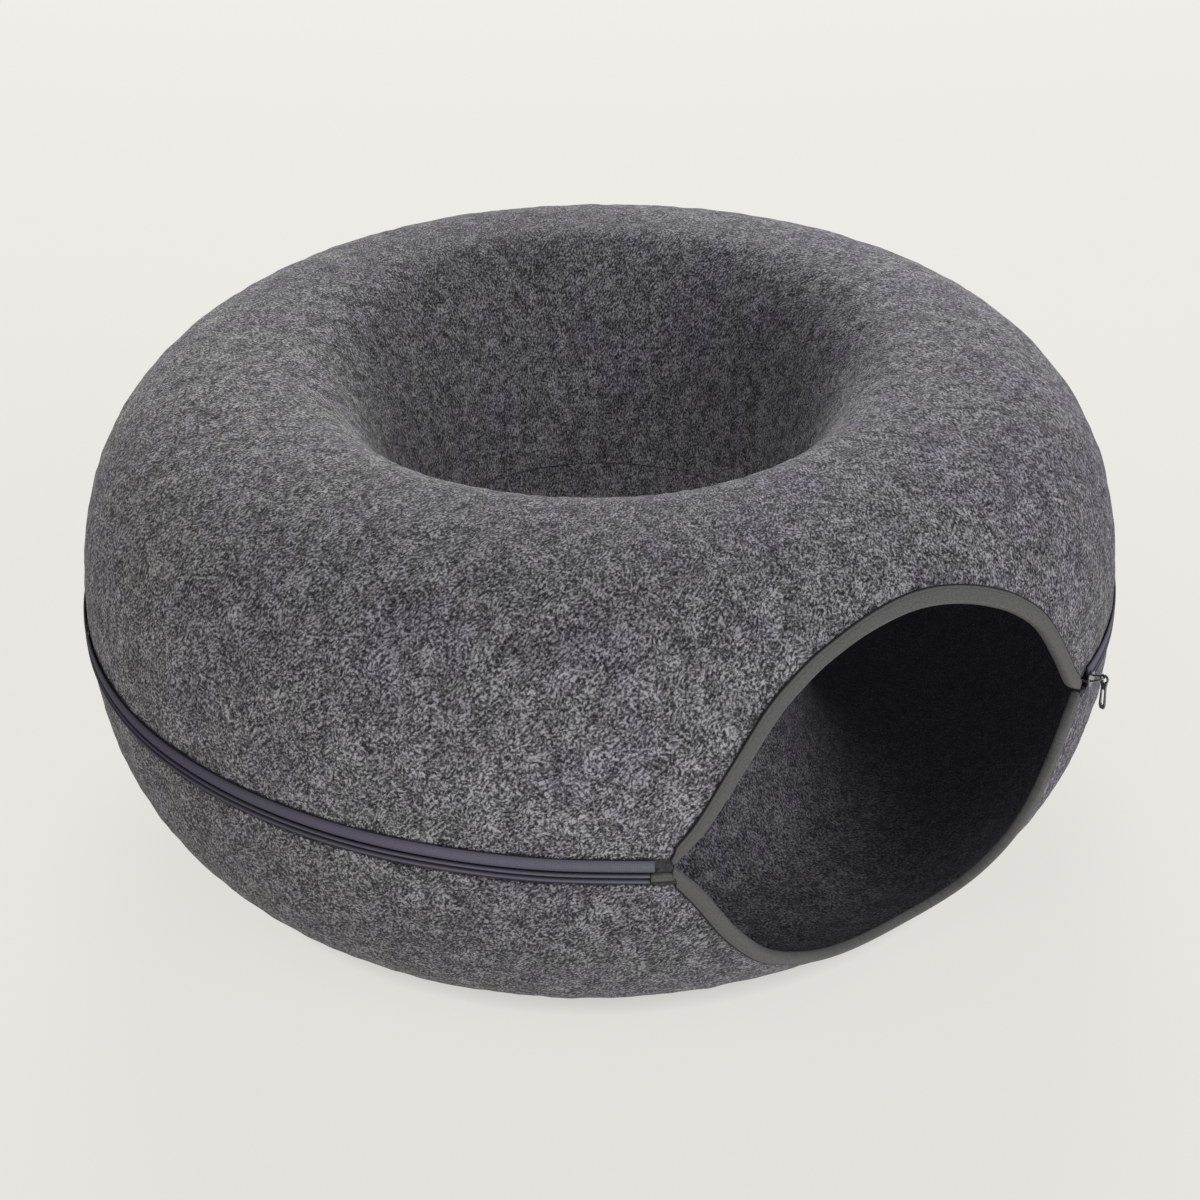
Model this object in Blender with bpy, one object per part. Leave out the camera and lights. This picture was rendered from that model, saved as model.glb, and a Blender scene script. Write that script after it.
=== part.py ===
"""Round felt cat cave: two moulded felt half rings, joined by a zip round the outside and a seam in the well.

Metres, +Z up. The origin is on the floor, under the middle of the bounding box. The mouth faces -Y.
Every soft piece is drawn on the skin, the outer face of the felt, by three numbers:
  azimuth  the turn about the well's axis, in radians, from the mouth's middle towards +X
  arc      the length along the felt from the zip line, upwards over the crest, downwards (negative) under
  lift     the height off the outer face, outwards positive
"""

import bpy
import bmesh
import numpy as np
from math import cos, pi, radians, sin
from mathutils import Matrix

MM = 0.001

# Driving sizes of the ring
OUTER_RADIUS = 300 * MM
CREST_RADIUS = 179 * MM
WELL_RADIUS = 110 * MM
UPPER_HEIGHT = 142 * MM
LOWER_HEIGHT = 140 * MM
ZIP_HEIGHT = 138 * MM
FELT = 5 * MM
AXIS_X = 0.4 * MM
AXIS_Y = -10.2 * MM

# How full each quarter of the ring's section is: 2 is an ellipse, more is squarer
FULLNESS_TOP_OUTER = 2.55
FULLNESS_TOP_WELL = 2.0
FULLNESS_BOTTOM = 2.3

# Soft waves that the moulded felt keeps: turns round the ring, turns round the section, phase, height
FELT_WAVES = (
    {"round": 2, "section": 1, "phase": 0.6, "height": 0.5 * MM},
    {"round": 3, "section": 3, "phase": 0.4, "height": 0.3 * MM},
    {"round": 5, "section": 2, "phase": 2.1, "height": 0.3 * MM},
)
# Where the mouth lets the felt sink a little: its place, how far it reaches each way, and how deep
FELT_DENTS = (
    {"azimuth": radians(28), "arc": -20 * MM, "wide": radians(17), "tall": 70 * MM, "depth": 2.0 * MM},
    {"azimuth": radians(8), "arc": -105 * MM, "wide": radians(24), "tall": 50 * MM, "depth": 2.0 * MM},
)
WAVE_FADE = 20 * MM

# The mouth's opening edge by azimuth in degrees: each lip's height off the zip line and the width of
# its binding's outer leaf, in millimetres. The lower lip's height is downwards.
MOUTH_EDGE = (
    {"azimuth": -27.7, "upper": 2.0, "upper_leaf": 8.0, "lower": -0.8, "lower_leaf": 8.0},
    {"azimuth": -25.0, "upper": 17.3, "upper_leaf": 9.0, "lower": 15.6, "lower_leaf": 9.0},
    {"azimuth": -21.0, "upper": 48.7, "upper_leaf": 9.5, "lower": 49.2, "lower_leaf": 9.0},
    {"azimuth": -17.0, "upper": 74.2, "upper_leaf": 9.6, "lower": 75.0, "lower_leaf": 8.4},
    {"azimuth": -13.0, "upper": 88.7, "upper_leaf": 9.2, "lower": 89.5, "lower_leaf": 7.2},
    {"azimuth": -8.0, "upper": 98.5, "upper_leaf": 8.8, "lower": 102.0, "lower_leaf": 6.4},
    {"azimuth": -3.0, "upper": 103.0, "upper_leaf": 9.5, "lower": 109.5, "lower_leaf": 6.2},
    {"azimuth": 2.0, "upper": 103.4, "upper_leaf": 10.2, "lower": 113.0, "lower_leaf": 6.2},
    {"azimuth": 7.0, "upper": 98.4, "upper_leaf": 10.5, "lower": 112.0, "lower_leaf": 6.2},
    {"azimuth": 11.0, "upper": 90.2, "upper_leaf": 10.6, "lower": 103.0, "lower_leaf": 6.2},
    {"azimuth": 14.5, "upper": 79.2, "upper_leaf": 10.4, "lower": 83.0, "lower_leaf": 6.2},
    {"azimuth": 17.5, "upper": 64.4, "upper_leaf": 10.0, "lower": 60.0, "lower_leaf": 6.2},
    {"azimuth": 20.5, "upper": 38.9, "upper_leaf": 9.8, "lower": 31.0, "lower_leaf": 6.2},
    {"azimuth": 23.5, "upper": 14.9, "upper_leaf": 9.8, "lower": 10.5, "lower_leaf": 6.2},
    {"azimuth": 26.3, "upper": 3.8, "upper_leaf": 9.0, "lower": -2.6, "lower_leaf": 6.2},
)
MOUTH_LEFT = radians(MOUTH_EDGE[0]["azimuth"])
MOUTH_RIGHT = radians(MOUTH_EDGE[-1]["azimuth"])

# Seam in the well, where the halves are sewn edge to edge
SEAM_RISE = 12 * MM
GAP = 0.3 * MM

# Binding folded over the mouth's cut edge, which it pinches thinner
BINDING = 0.9 * MM
PINCHED_FELT = 2.8 * MM
PINCH_DEPTH = 11 * MM
PINCH_FADE = 6 * MM
INNER_LEAF_SHARE = 0.6
BINDING_TIP_LEAF = 6 * MM
TIP_LENGTH = 11 * MM
BINDING_FOLD = 1.2 * MM
FOLD_ROUNDING = 0.9 * MM
LEAF_ROUNDING = 0.4 * MM
FELT_SET_BACK = 2.6 * MM
TAIL_LENGTH = 11.7 * MM
TAIL_FOLD = 3.0 * MM
TAIL_LEAF = 5.0 * MM

# Zip: two tapes sewn over the felt's edges, with the coil behind the slit. It dips at its left end and
# rises at the slider.
ZIP_SLIT = 0.5 * MM
ZIP_TAPE = 1.2 * MM
TAPE_UPPER_WIDTH = 7.6 * MM
TAPE_LOWER_WIDTH = 6.6 * MM
FELT_ZIP_EDGE = 4.6 * MM
COIL_HALF_WIDTH = 2.4 * MM
COIL_DEPTH = 2.5 * MM
ZIP_DIP = -2.0 * MM
ZIP_RISE = 3.8 * MM
ZIP_BEND = radians(24)
TAB_LENGTH = 8.5 * MM
TAB_DROP = 0.4 * MM
LOWER_END_SHORTER = 2.6 * MM

# Slider and pull, at the mouth's right corner. The slider's heights are off the skin.
SLIDER_AZIMUTH = radians(28.8)
SLIDER_RISE = 4.4 * MM
SLIDER_LENGTH = 10 * MM
SLIDER_WIDTH = 8.2 * MM
SLIDER_PLATE = 1.2 * MM
SLIDER_TOP = 2.3 * MM
SLIDER_BOTTOM = -4.4 * MM
NECK_START = -4.2 * MM
NECK_END = -1.6 * MM
NECK_WIDE = 0.9 * MM
NECK_NARROW = 0.3 * MM
UNDER_PLATE_NARROWER = 1.2 * MM
PLATE_BEVEL = 0.3 * MM
BAIL_BAR = 0.65 * MM
BAIL_REACH = 10.4 * MM
BAIL_SPAN = 3.2 * MM
BAIL_LIFT = 2.6 * MM
PULL_LENGTH = 19.4 * MM
PULL_THICKNESS = 1.2 * MM
PULL_RING_OUTER = 2.9 * MM
PULL_RING_HOLE = 1.9 * MM
PULL_WIDTH = 4.4 * MM
PULL_TWIST = radians(-20)
PULL_NECK = 5.5 * MM
PULL_WINDOW_TOP = 7.5 * MM
PULL_FRAME = 1.3 * MM
PULL_BEVEL = 0.25 * MM

# Fineness of the solids
MOUTH_COLUMNS = 28
REST_COLUMNS = 36
EDGE_ROWS = (0, 8 * MM, 15 * MM)
WALL_SPANS = 4
SHARED_FROM = 165 * MM
UPPER_SPANS = 7
BASE_SPANS = 2
WELL_SPANS = 6


# --- the skin -------------------------------------------------------------------------------------

def quarter(start, fullness_a, fullness_b, points=240):
    """One quarter of the section, from turn `start`, as radius and height before it is pressed flat."""
    turn = np.linspace(start, start + pi / 2, points)
    side, rise = np.cos(turn), np.sin(turn)
    half_width = np.where(side >= 0, OUTER_RADIUS - CREST_RADIUS, CREST_RADIUS - WELL_RADIUS)
    radius = CREST_RADIUS + half_width * np.sign(side) * np.abs(side) ** (2 / fullness_a)
    half_height = np.where(rise >= 0, UPPER_HEIGHT, LOWER_HEIGHT)
    height = half_height * np.sign(rise) * np.abs(rise) ** (2 / fullness_b)
    return radius, height


def section_curve():
    """The felt's outer section as arc, radius, height and outward normal, from the zip line up and round."""
    quarters = (
        quarter(0, FULLNESS_TOP_OUTER, FULLNESS_TOP_OUTER),
        quarter(pi / 2, FULLNESS_TOP_WELL, FULLNESS_TOP_WELL),
        quarter(pi, FULLNESS_BOTTOM, FULLNESS_BOTTOM),
        quarter(3 * pi / 2, FULLNESS_BOTTOM, FULLNESS_BOTTOM),
    )
    radius = np.concatenate([q[0][:-1] for q in quarters] + [quarters[0][0][:1]])
    height = np.concatenate([q[1][:-1] for q in quarters] + [quarters[0][1][:1]])
    height = np.maximum(height, -ZIP_HEIGHT)
    steps = np.hypot(np.diff(radius), np.diff(height))
    arc = np.concatenate([[0], np.cumsum(steps)])
    even = np.linspace(0, arc[-1], 1600)
    radius, height = np.interp(even, arc, radius), np.interp(even, arc, height)
    around = np.gradient(radius[:-1], edge_order=1), np.gradient(height[:-1], edge_order=1)
    smooth = [np.convolve(np.concatenate([g[-4:], g, g[:4]]), np.ones(9) / 9, "valid") for g in around]
    size = np.hypot(*smooth)
    normal_r = np.append(smooth[1] / size, smooth[1][0] / size[0])
    normal_z = np.append(-smooth[0] / size, -smooth[0][0] / size[0])
    return even, radius, height, normal_r, normal_z


ARC, RADIUS, HEIGHT, NORMAL_R, NORMAL_Z = section_curve()
GIRTH = ARC[-1]


def waves(azimuth, arc):
    """How far the moulded felt stands off its true form. It fades to nothing on the floor."""
    turn = 2 * pi * arc / GIRTH
    off_floor = np.clip((np.interp(arc % GIRTH, ARC, HEIGHT) + ZIP_HEIGHT) / WAVE_FADE, 0, 1)
    total = sum(
        w["height"] * np.sin(w["round"] * azimuth + w["section"] * turn + w["phase"]) for w in FELT_WAVES
    )
    for dent in FELT_DENTS:
        across = (azimuth - dent["azimuth"] + pi) % (2 * pi) - pi
        along = (arc - dent["arc"] + GIRTH / 2) % GIRTH - GIRTH / 2
        total = total - dent["depth"] * np.exp(-((across / dent["wide"]) ** 2) - (along / dent["tall"]) ** 2)
    return total * off_floor


def skin(azimuth, arc, lift):
    """World points on the skin. The inputs are arrays of one shape, or numbers."""
    azimuth, arc, lift = np.broadcast_arrays(azimuth, arc, lift)
    place = arc % GIRTH
    off = lift + waves(azimuth, arc)
    radius = np.interp(place, ARC, RADIUS) + off * np.interp(place, ARC, NORMAL_R)
    height = np.interp(place, ARC, HEIGHT) + off * np.interp(place, ARC, NORMAL_Z)
    return np.stack(
        [AXIS_X + radius * np.sin(azimuth), AXIS_Y - radius * np.cos(azimuth), ZIP_HEIGHT + height], axis=-1
    )


def arc_at_height(height, lower=False):
    """The arc on the outer wall at a height off the zip line. On the lower half both are negative."""
    arcs = np.linspace(-0.05, 0.22, 600) * GIRTH
    if lower:
        heights = -np.interp((-arcs) % GIRTH, ARC, HEIGHT)
        return -np.interp(height, heights, arcs)
    return np.interp(height, np.interp(arcs % GIRTH, ARC, HEIGHT), arcs)


# --- the mouth's edge -----------------------------------------------------------------------------

def smooth_through(x, known_x, known_y):
    """A smooth curve through the known points: a cubic on each span, its slopes taken from the neighbours."""
    slope = np.gradient(known_y, known_x)
    span = np.clip(np.searchsorted(known_x, x) - 1, 0, len(known_x) - 2)
    width = known_x[span + 1] - known_x[span]
    t = (x - known_x[span]) / width
    rise = known_y[span] * (2 * t**3 - 3 * t**2 + 1) + known_y[span + 1] * (3 * t**2 - 2 * t**3)
    return rise + width * (slope[span] * (t**3 - 2 * t**2 + t) + slope[span + 1] * (t**3 - t**2))


def mouth_column(azimuth, name):
    """A column of the mouth's table as a smooth curve, in metres."""
    degrees = np.array([row["azimuth"] for row in MOUTH_EDGE])
    return smooth_through(np.degrees(azimuth), degrees, np.array([row[name] for row in MOUTH_EDGE]) * MM)


def mouth_arc(azimuth, lip):
    """The opening edge of the upper or lower lip, as an arc. The lower one is negative."""
    return arc_at_height(mouth_column(azimuth, lip), lower=(lip == "lower"))


def walked_along(azimuth, arc):
    """The length walked along the skin up to each point of a line."""
    radius = np.interp(arc % GIRTH, ARC, RADIUS)
    return np.concatenate([[0], np.cumsum(np.hypot(np.diff(azimuth) * radius[1:], np.diff(arc)))])


def lip_stations(lip):
    """Azimuths of the stations from one corner of the mouth to the other, evenly spaced along the lip."""
    fine = np.linspace(MOUTH_LEFT, MOUTH_RIGHT, 800)
    walked = walked_along(fine, mouth_arc(fine, lip))
    return np.interp(np.linspace(0, walked[-1], MOUTH_COLUMNS + 1), walked, fine)


def lip_frame(lip, azimuth):
    """For each station of a lip: azimuth, arc, the direction into the felt, the radius and the leaf's width."""
    arc = mouth_arc(azimuth, lip)
    radius = np.interp(arc % GIRTH, ARC, RADIUS)
    along_x = np.gradient(azimuth) * radius
    along_y = np.gradient(arc)
    size = np.hypot(along_x, along_y)
    up = 1 if lip == "upper" else -1
    into_x, into_y = -up * along_y / size, up * along_x / size
    walked = walked_along(azimuth, arc)
    tip = 1 - np.clip(np.minimum(walked, walked[-1] - walked) / TIP_LENGTH, 0, 1)
    tip = tip * tip * (3 - 2 * tip)
    into_x, into_y = into_x * (1 - tip), into_y * (1 - tip) + up * tip
    size = np.hypot(into_x, into_y)
    leaf = mouth_column(azimuth, lip + "_leaf")
    leaf = leaf + (BINDING_TIP_LEAF - leaf) * tip
    return azimuth, arc, into_x / size, into_y / size, radius, leaf


def with_tail(azimuth, arc, into_x, into_y, radius, leaf):
    """The lower lip's stations, carried on past the left corner along the zip's edge."""
    ends = np.array([-TAIL_LENGTH, -2 * GAP]) / OUTER_RADIUS
    return (
        np.concatenate([MOUTH_LEFT + ends, azimuth]),
        np.concatenate([np.full(2, -TAIL_FOLD), arc]),
        np.concatenate([np.zeros(2), into_x]),
        np.concatenate([np.full(2, -1.0), into_y]),
        np.concatenate([np.full(2, OUTER_RADIUS), radius]),
        np.concatenate([np.full(2, TAIL_LEAF), leaf]),
    )


def felt_edge(azimuth, lip):
    """The cut edge of the felt: in the mouth it is set back for the binding, and elsewhere for the zip."""
    sign = 1 if lip == "upper" else -1
    along, arc, into_x, into_y, radius, _ = lip_frame(lip, np.linspace(MOUTH_LEFT, MOUTH_RIGHT, 400))
    cut = np.interp(azimuth, along + FELT_SET_BACK * into_x / radius, arc + FELT_SET_BACK * into_y)
    inside = (azimuth > MOUTH_LEFT - 1e-9) & (azimuth < MOUTH_RIGHT + 1e-9)
    zip_edge = zip_line(np.where(azimuth < 0, azimuth + 2 * pi, azimuth)) * ~inside + sign * FELT_ZIP_EDGE
    edge = np.where(inside, sign * np.maximum(sign * cut, sign * zip_edge), zip_edge)
    if lip == "upper":
        on_tab = (azimuth > TAB_START - 1e-9) & (azimuth < TAB_END + 1e-9)
        edge = np.where(on_tab, ZIP_DIP - TAB_DROP, edge)
    return edge


# The felt's tab beyond the zip's left end, just short of the binding
TAB_END = MOUTH_LEFT - 2 * GAP / OUTER_RADIUS
TAB_START = TAB_END - TAB_LENGTH / OUTER_RADIUS


# --- mesh helpers ---------------------------------------------------------------------------------

def material(name, color, roughness, metallic=0.0):
    made = bpy.data.materials.new(name)
    made.use_nodes = True
    shader = made.node_tree.nodes["Principled BSDF"]
    shader.inputs["Base Color"].default_value = (*color, 1)
    shader.inputs["Roughness"].default_value = roughness
    shader.inputs["Metallic"].default_value = metallic
    return made


def add_object(name, mesh_data, made_of):
    build = bmesh.new()
    build.from_mesh(mesh_data)
    bmesh.ops.recalc_face_normals(build, faces=build.faces)
    build.to_mesh(mesh_data)
    build.free()
    mesh_data.materials.append(made_of)
    mesh_data.shade_smooth()
    mesh_data.set_sharp_from_angle(angle=radians(40))
    obj = bpy.data.objects.new(name, mesh_data)
    bpy.context.scene.collection.objects.link(obj)
    return obj


def loft(name, sections, made_of, ring=False):
    """A solid through closed sections, an array of stations by corners by 3. A ring joins its ends."""
    stations, corners = sections.shape[:2]
    index = np.arange(stations * corners).reshape(stations, corners)
    following = np.roll(index, -1, axis=0) if ring else index[1:]
    first = index if ring else index[:-1]
    quads = np.stack(
        [first, np.roll(first, -1, axis=1), np.roll(following, -1, axis=1), following], axis=-1
    ).reshape(-1, 4)
    faces = quads.tolist()
    if not ring:
        faces += [index[0].tolist(), index[-1].tolist()]
    mesh_data = bpy.data.meshes.new(name)
    mesh_data.from_pydata(sections.reshape(-1, 3).tolist(), [], faces)
    return add_object(name, mesh_data, made_of)


# --- felt halves ----------------------------------------------------------------------------------

def ring_azimuths(lip):
    """Columns round the ring, from the mouth's left corner: close in the mouth, wider apart behind it."""
    first_behind = MOUTH_RIGHT + radians(2)
    last_behind = TAB_START + 2 * pi - radians(1)
    behind = np.linspace(first_behind, last_behind, REST_COLUMNS)
    slim = GAP / OUTER_RADIUS
    tab = np.array([TAB_START - slim, TAB_START, TAB_END, TAB_END + slim]) + 2 * pi
    return np.concatenate([lip_stations(lip), behind, tab])


def shared_arcs(lip):
    """Arcs of the rows that every column shares: over the crest or under the base, and up the well."""
    in_well = (ARC > GIRTH * 0.25) & (ARC < GIRTH * 0.7)
    seam = float(np.interp(-SEAM_RISE, -HEIGHT[in_well], ARC[in_well]))
    if lip == "upper":
        return np.linspace(SHARED_FROM, seam - GAP / 2, UPPER_SPANS + 1)
    flat = ARC[HEIGHT < -ZIP_HEIGHT + 1e-7] - GIRTH
    base = np.linspace(flat[-1], flat[0], BASE_SPANS + 1)
    return np.concatenate([base, np.linspace(flat[0], seam - GIRTH + GAP / 2, WELL_SPANS + 1)[1:]])


def felt_thickness(azimuth, arc, lip):
    """The felt's thickness: pinched in the binding's fold, and full from a little way behind it."""
    fold = lip_frame(lip, np.linspace(MOUTH_LEFT, MOUTH_RIGHT, 200))
    if lip == "lower":
        fold = with_tail(*fold)
    across = (azimuth[..., None] - fold[0]) * OUTER_RADIUS
    away = np.hypot(across, arc[..., None] - fold[1]).min(axis=-1)
    full = np.clip((away - PINCH_DEPTH) / PINCH_FADE, 0, 1)
    return PINCHED_FELT + (FELT - PINCHED_FELT) * full


def half_shell(name, lip, made_of):
    """One moulded half: from its cut edge at the zip or mouth, over its crest, to the seam in the well."""
    sign = 1 if lip == "upper" else -1
    azimuth = ring_azimuths(lip)
    turned = np.where(azimuth > pi, azimuth - 2 * pi, azimuth)
    start = felt_edge(turned, lip)
    shared = shared_arcs(lip)
    share = np.arange(1, WALL_SPANS) / WALL_SPANS
    edge_rows = start[:, None] + sign * np.array(EDGE_ROWS)
    wall = edge_rows[:, -1:] + (shared[0] - edge_rows[:, -1:]) * share
    arcs = np.concatenate([edge_rows, wall, np.tile(shared, (len(azimuth), 1))], axis=1)
    thickness = felt_thickness(turned[:, None], arcs, lip)
    around = azimuth[:, None]
    outer = skin(around, arcs, 0.0)
    inner = skin(around, arcs[:, ::-1], -thickness[:, ::-1])
    return loft(name, np.concatenate([outer, inner], axis=1), made_of, ring=True)


# --- binding --------------------------------------------------------------------------------------

def binding(name, lip, made_of):
    """A tape folded over the cut edge: an outer leaf, the fold and an inner leaf, in one U-shaped section."""
    frame = lip_frame(lip, lip_stations(lip))
    if lip == "lower":
        frame = with_tail(*frame)
    azimuth, arc, into_x, into_y, radius, leaf = frame
    under = -PINCHED_FELT - GAP
    corners = (
        (1.0, 0, GAP),
        (1.0, -LEAF_ROUNDING, GAP + BINDING),
        (0.0, FOLD_ROUNDING, GAP + BINDING),
        (0.0, 0.2 * FOLD_ROUNDING, GAP),
        (0.0, 0.0, -0.5 * PINCHED_FELT),
        (0.0, 0.2 * FOLD_ROUNDING, under),
        (0.0, FOLD_ROUNDING, under - BINDING),
        (INNER_LEAF_SHARE, 0, under - BINDING),
        (INNER_LEAF_SHARE, 0, under),
        (0.0, BINDING_FOLD, under),
        (0.0, BINDING_FOLD - GAP, -0.5 * PINCHED_FELT),
        (0.0, BINDING_FOLD, GAP),
    )
    sections = []
    for share, offset, lift in corners:
        depth = share * leaf + offset
        sections.append(skin(azimuth + depth * into_x / radius, arc + depth * into_y, lift))
    return loft(name, np.stack(sections, axis=1), made_of)


# --- zip ------------------------------------------------------------------------------------------

def zip_azimuths(start, end):
    """Stations round the back, from the slider to the left end, on the felt's own columns."""
    columns = ring_azimuths("upper")
    kept = columns[(columns > start + 0.02) & (columns < end - 0.01)]
    return np.concatenate([[start], kept, [end]])


def zip_line(azimuth):
    """The arc of the zip's slit round the back: it dips towards its left end and rises towards the slider."""
    to_left = 1 - np.clip((2 * pi + TAB_START - azimuth) / ZIP_BEND, 0, 1)
    to_right = 1 - np.clip((azimuth - SLIDER_AZIMUTH) / ZIP_BEND, 0, 1)
    return ZIP_DIP * to_left**2 + ZIP_RISE * to_right**2


def strip(name, azimuths, profile, made_of):
    """A strip along the zip line, with a closed outline of (arc, lift) corners."""
    corners = [skin(azimuths, zip_line(azimuths) + arc, lift) for arc, lift in profile]
    return loft(name, np.stack(corners, axis=1), made_of)


def tape_profile(near, far):
    """A sewn tape: flat underneath, soft at both edges."""
    soft = (far - near) * 0.12
    low, middle, high = GAP, GAP + 0.6 * ZIP_TAPE, GAP + ZIP_TAPE
    return ((near, low), (near, middle), (near + soft, high), (far - soft, high), (far, middle), (far, low))


def zip_pieces(tape, coil_made_of):
    """The tapes and the coil. The lower tape and the coil stop short of the upper tape, at the tail."""
    start = SLIDER_AZIMUTH - MM / OUTER_RADIUS
    end = TAB_START - 2 * GAP / OUTER_RADIUS + 2 * pi
    run = zip_azimuths(start, end)
    shorter = zip_azimuths(start, end - LOWER_END_SHORTER / OUTER_RADIUS)
    strip("zip_tape_upper", run, tape_profile(ZIP_SLIT, ZIP_SLIT + TAPE_UPPER_WIDTH), tape)
    strip("zip_tape_lower", shorter, tape_profile(-ZIP_SLIT, -ZIP_SLIT - TAPE_LOWER_WIDTH), tape)
    half, deep = COIL_HALF_WIDTH, -COIL_DEPTH
    bead = (
        (-half, deep * 0.3), (-half, deep * 0.7), (-half * 0.5, deep), (half * 0.5, deep),
        (half, deep * 0.7), (half, deep * 0.3), (half * 0.5, 0), (-half * 0.5, 0),
    )
    strip("zip_coil", shorter, bead, coil_made_of)


# --- slider and pull ------------------------------------------------------------------------------
# Drawn in the slider's own axes: X along the zip away from the mouth, -Y outwards, Z up.

def at_slider(obj, turn=0.0, offset=(0, 0, 0)):
    """Places an object drawn in the slider's axes, turned about the vertical through `offset`."""
    ground = skin(SLIDER_AZIMUTH, SLIDER_RISE, 0.0)
    place = Matrix.Translation(ground.tolist()) @ Matrix.Rotation(SLIDER_AZIMUTH, 4, "Z")
    obj.matrix_world = place @ Matrix.Translation(offset) @ Matrix.Rotation(turn, 4, "Z")


def prism(name, outline, low, high, axis, made_of, bevel=0.0):
    """A plate with an outline of (a, b) corners, from low to high along an axis, its edges softened."""
    build = bmesh.new()
    order = {"Y": lambda a, b, c: (a, c, b), "X": lambda a, b, c: (c, a, b)}[axis]
    corners = [build.verts.new(order(a, b, low)) for a, b in outline]
    face = build.faces.new(corners)
    grown = bmesh.ops.extrude_face_region(build, geom=[face])
    moved = [v for v in grown["geom"] if isinstance(v, bmesh.types.BMVert)]
    bmesh.ops.translate(build, verts=moved, vec=order(0, 0, high - low))
    bmesh.ops.recalc_face_normals(build, faces=build.faces)
    if bevel:
        bmesh.ops.bevel(build, geom=build.edges[:], offset=bevel, segments=1, affect="EDGES")
    mesh_data = bpy.data.meshes.new(name)
    build.to_mesh(mesh_data)
    build.free()
    return add_object(name, mesh_data, made_of)


def helper(obj):
    obj.hide_render = True
    obj.display_type = "WIRE"
    return obj


def combine(obj, other, operation):
    step = obj.modifiers.new(other.name, "BOOLEAN")
    step.operation = operation
    step.solver = "EXACT"
    step.object = other


def slider_outline(length, width):
    """A slider plate from the front: wide shoulders towards the mouth, a narrower tail."""
    nose, tail = -length / 2, length / 2
    shoulder, waist = width / 2, width * 0.38
    half = [(nose, shoulder * 0.55), (nose + length * 0.16, shoulder), (nose + length * 0.5, shoulder)]
    half += [(nose + length * 0.75, waist), (tail - length * 0.1, waist), (tail, waist * 0.7)]
    return half + [(x, -z) for x, z in reversed(half)]


def bar(name, path, radius, made_of, sides=8):
    """A round bar bent along a path that lies close to the X-Y plane, with its sides square to the path."""
    path = np.array(path)
    along = np.gradient(path, axis=0)
    along /= np.linalg.norm(along, axis=1)[:, None]
    across = np.stack([-along[:, 1], along[:, 0], np.zeros(len(path))], axis=1)
    up = np.array([0, 0, 1.0])
    turns = np.linspace(0, 2 * pi, sides, endpoint=False)
    sections = [
        path + radius * (np.cos(t) * across + np.sin(t) * up) for t in turns
    ]
    return loft(name, np.stack(sections, axis=1), made_of)


def slider(metal):
    top = (-SLIDER_TOP - SLIDER_PLATE, -SLIDER_TOP)
    body = prism("zip_slider", slider_outline(SLIDER_LENGTH, SLIDER_WIDTH), *top, "Y", metal, PLATE_BEVEL)
    low = (-SLIDER_BOTTOM - SLIDER_PLATE, -SLIDER_BOTTOM)
    narrow = slider_outline(SLIDER_LENGTH, SLIDER_WIDTH - UNDER_PLATE_NARROWER)
    under = prism("slider_under_plate", narrow, *low, "Y", metal, PLATE_BEVEL)
    wedge = [(NECK_START, NECK_WIDE), (NECK_END, NECK_NARROW)]
    wedge += [(x, -z) for x, z in reversed(wedge)]
    inside = SLIDER_PLATE / 2
    neck = prism("slider_neck", wedge, -SLIDER_TOP - inside, -SLIDER_BOTTOM - inside, "Y", metal)
    turns = np.linspace(0, pi, 11)
    rise = BAIL_REACH - SLIDER_TOP - 0.5 * SLIDER_PLATE
    foot = -SLIDER_TOP - 0.5 * SLIDER_PLATE
    path = [(-BAIL_SPAN * cos(t), foot - rise * sin(t) ** 0.7, BAIL_LIFT * sin(t)) for t in turns]
    bail = bar("slider_bail", path, BAIL_BAR, metal)
    for other in (under, neck, bail):
        combine(body, helper(other), "UNION")
        at_slider(other)
    at_slider(body)


def ring_of(centre_b, radius, sides, start=0.0, sweep=2 * pi, closed=True):
    turns = np.linspace(start, start + sweep, sides, endpoint=not closed)
    return [(radius * cos(t), centre_b + radius * sin(t)) for t in turns]


def pull(metal):
    """The pull hangs from the bail: a ring end, then a tab with a window. Drawn in its own Y-Z plane."""
    drop = -(PULL_RING_HOLE - BAIL_BAR - GAP)
    half = PULL_WIDTH / 2
    foot = -PULL_LENGTH
    outline = ring_of(0, PULL_RING_OUTER, 11, radians(-35), radians(250), closed=False)
    outline += [(-half * 0.8, -PULL_NECK), (-half, foot + half), (-half * 0.6, foot)]
    outline += [(half * 0.6, foot), (half, foot + half), (half * 0.8, -PULL_NECK)]
    side = PULL_THICKNESS / 2
    tab = prism("zip_pull", outline, -side, side, "X", metal, PULL_BEVEL)
    hole = prism("pull_hole", ring_of(0, PULL_RING_HOLE, 14), -3 * side, 3 * side, "X", metal)
    reach = half - PULL_FRAME
    window = ring_of(-PULL_WINDOW_TOP, reach, 6, 0, pi, closed=False)
    window += ring_of(foot + PULL_WIDTH * 0.8, reach, 6, pi, pi, closed=False)
    slot = prism("pull_window", window, -3 * side, 3 * side, "X", metal)
    centre = (0, -BAIL_REACH, BAIL_LIFT + drop)
    for cutter in (hole, slot):
        combine(tab, helper(cutter), "DIFFERENCE")
        at_slider(cutter, PULL_TWIST, centre)
    at_slider(tab, PULL_TWIST, centre)


# --- the object -----------------------------------------------------------------------------------

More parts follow.
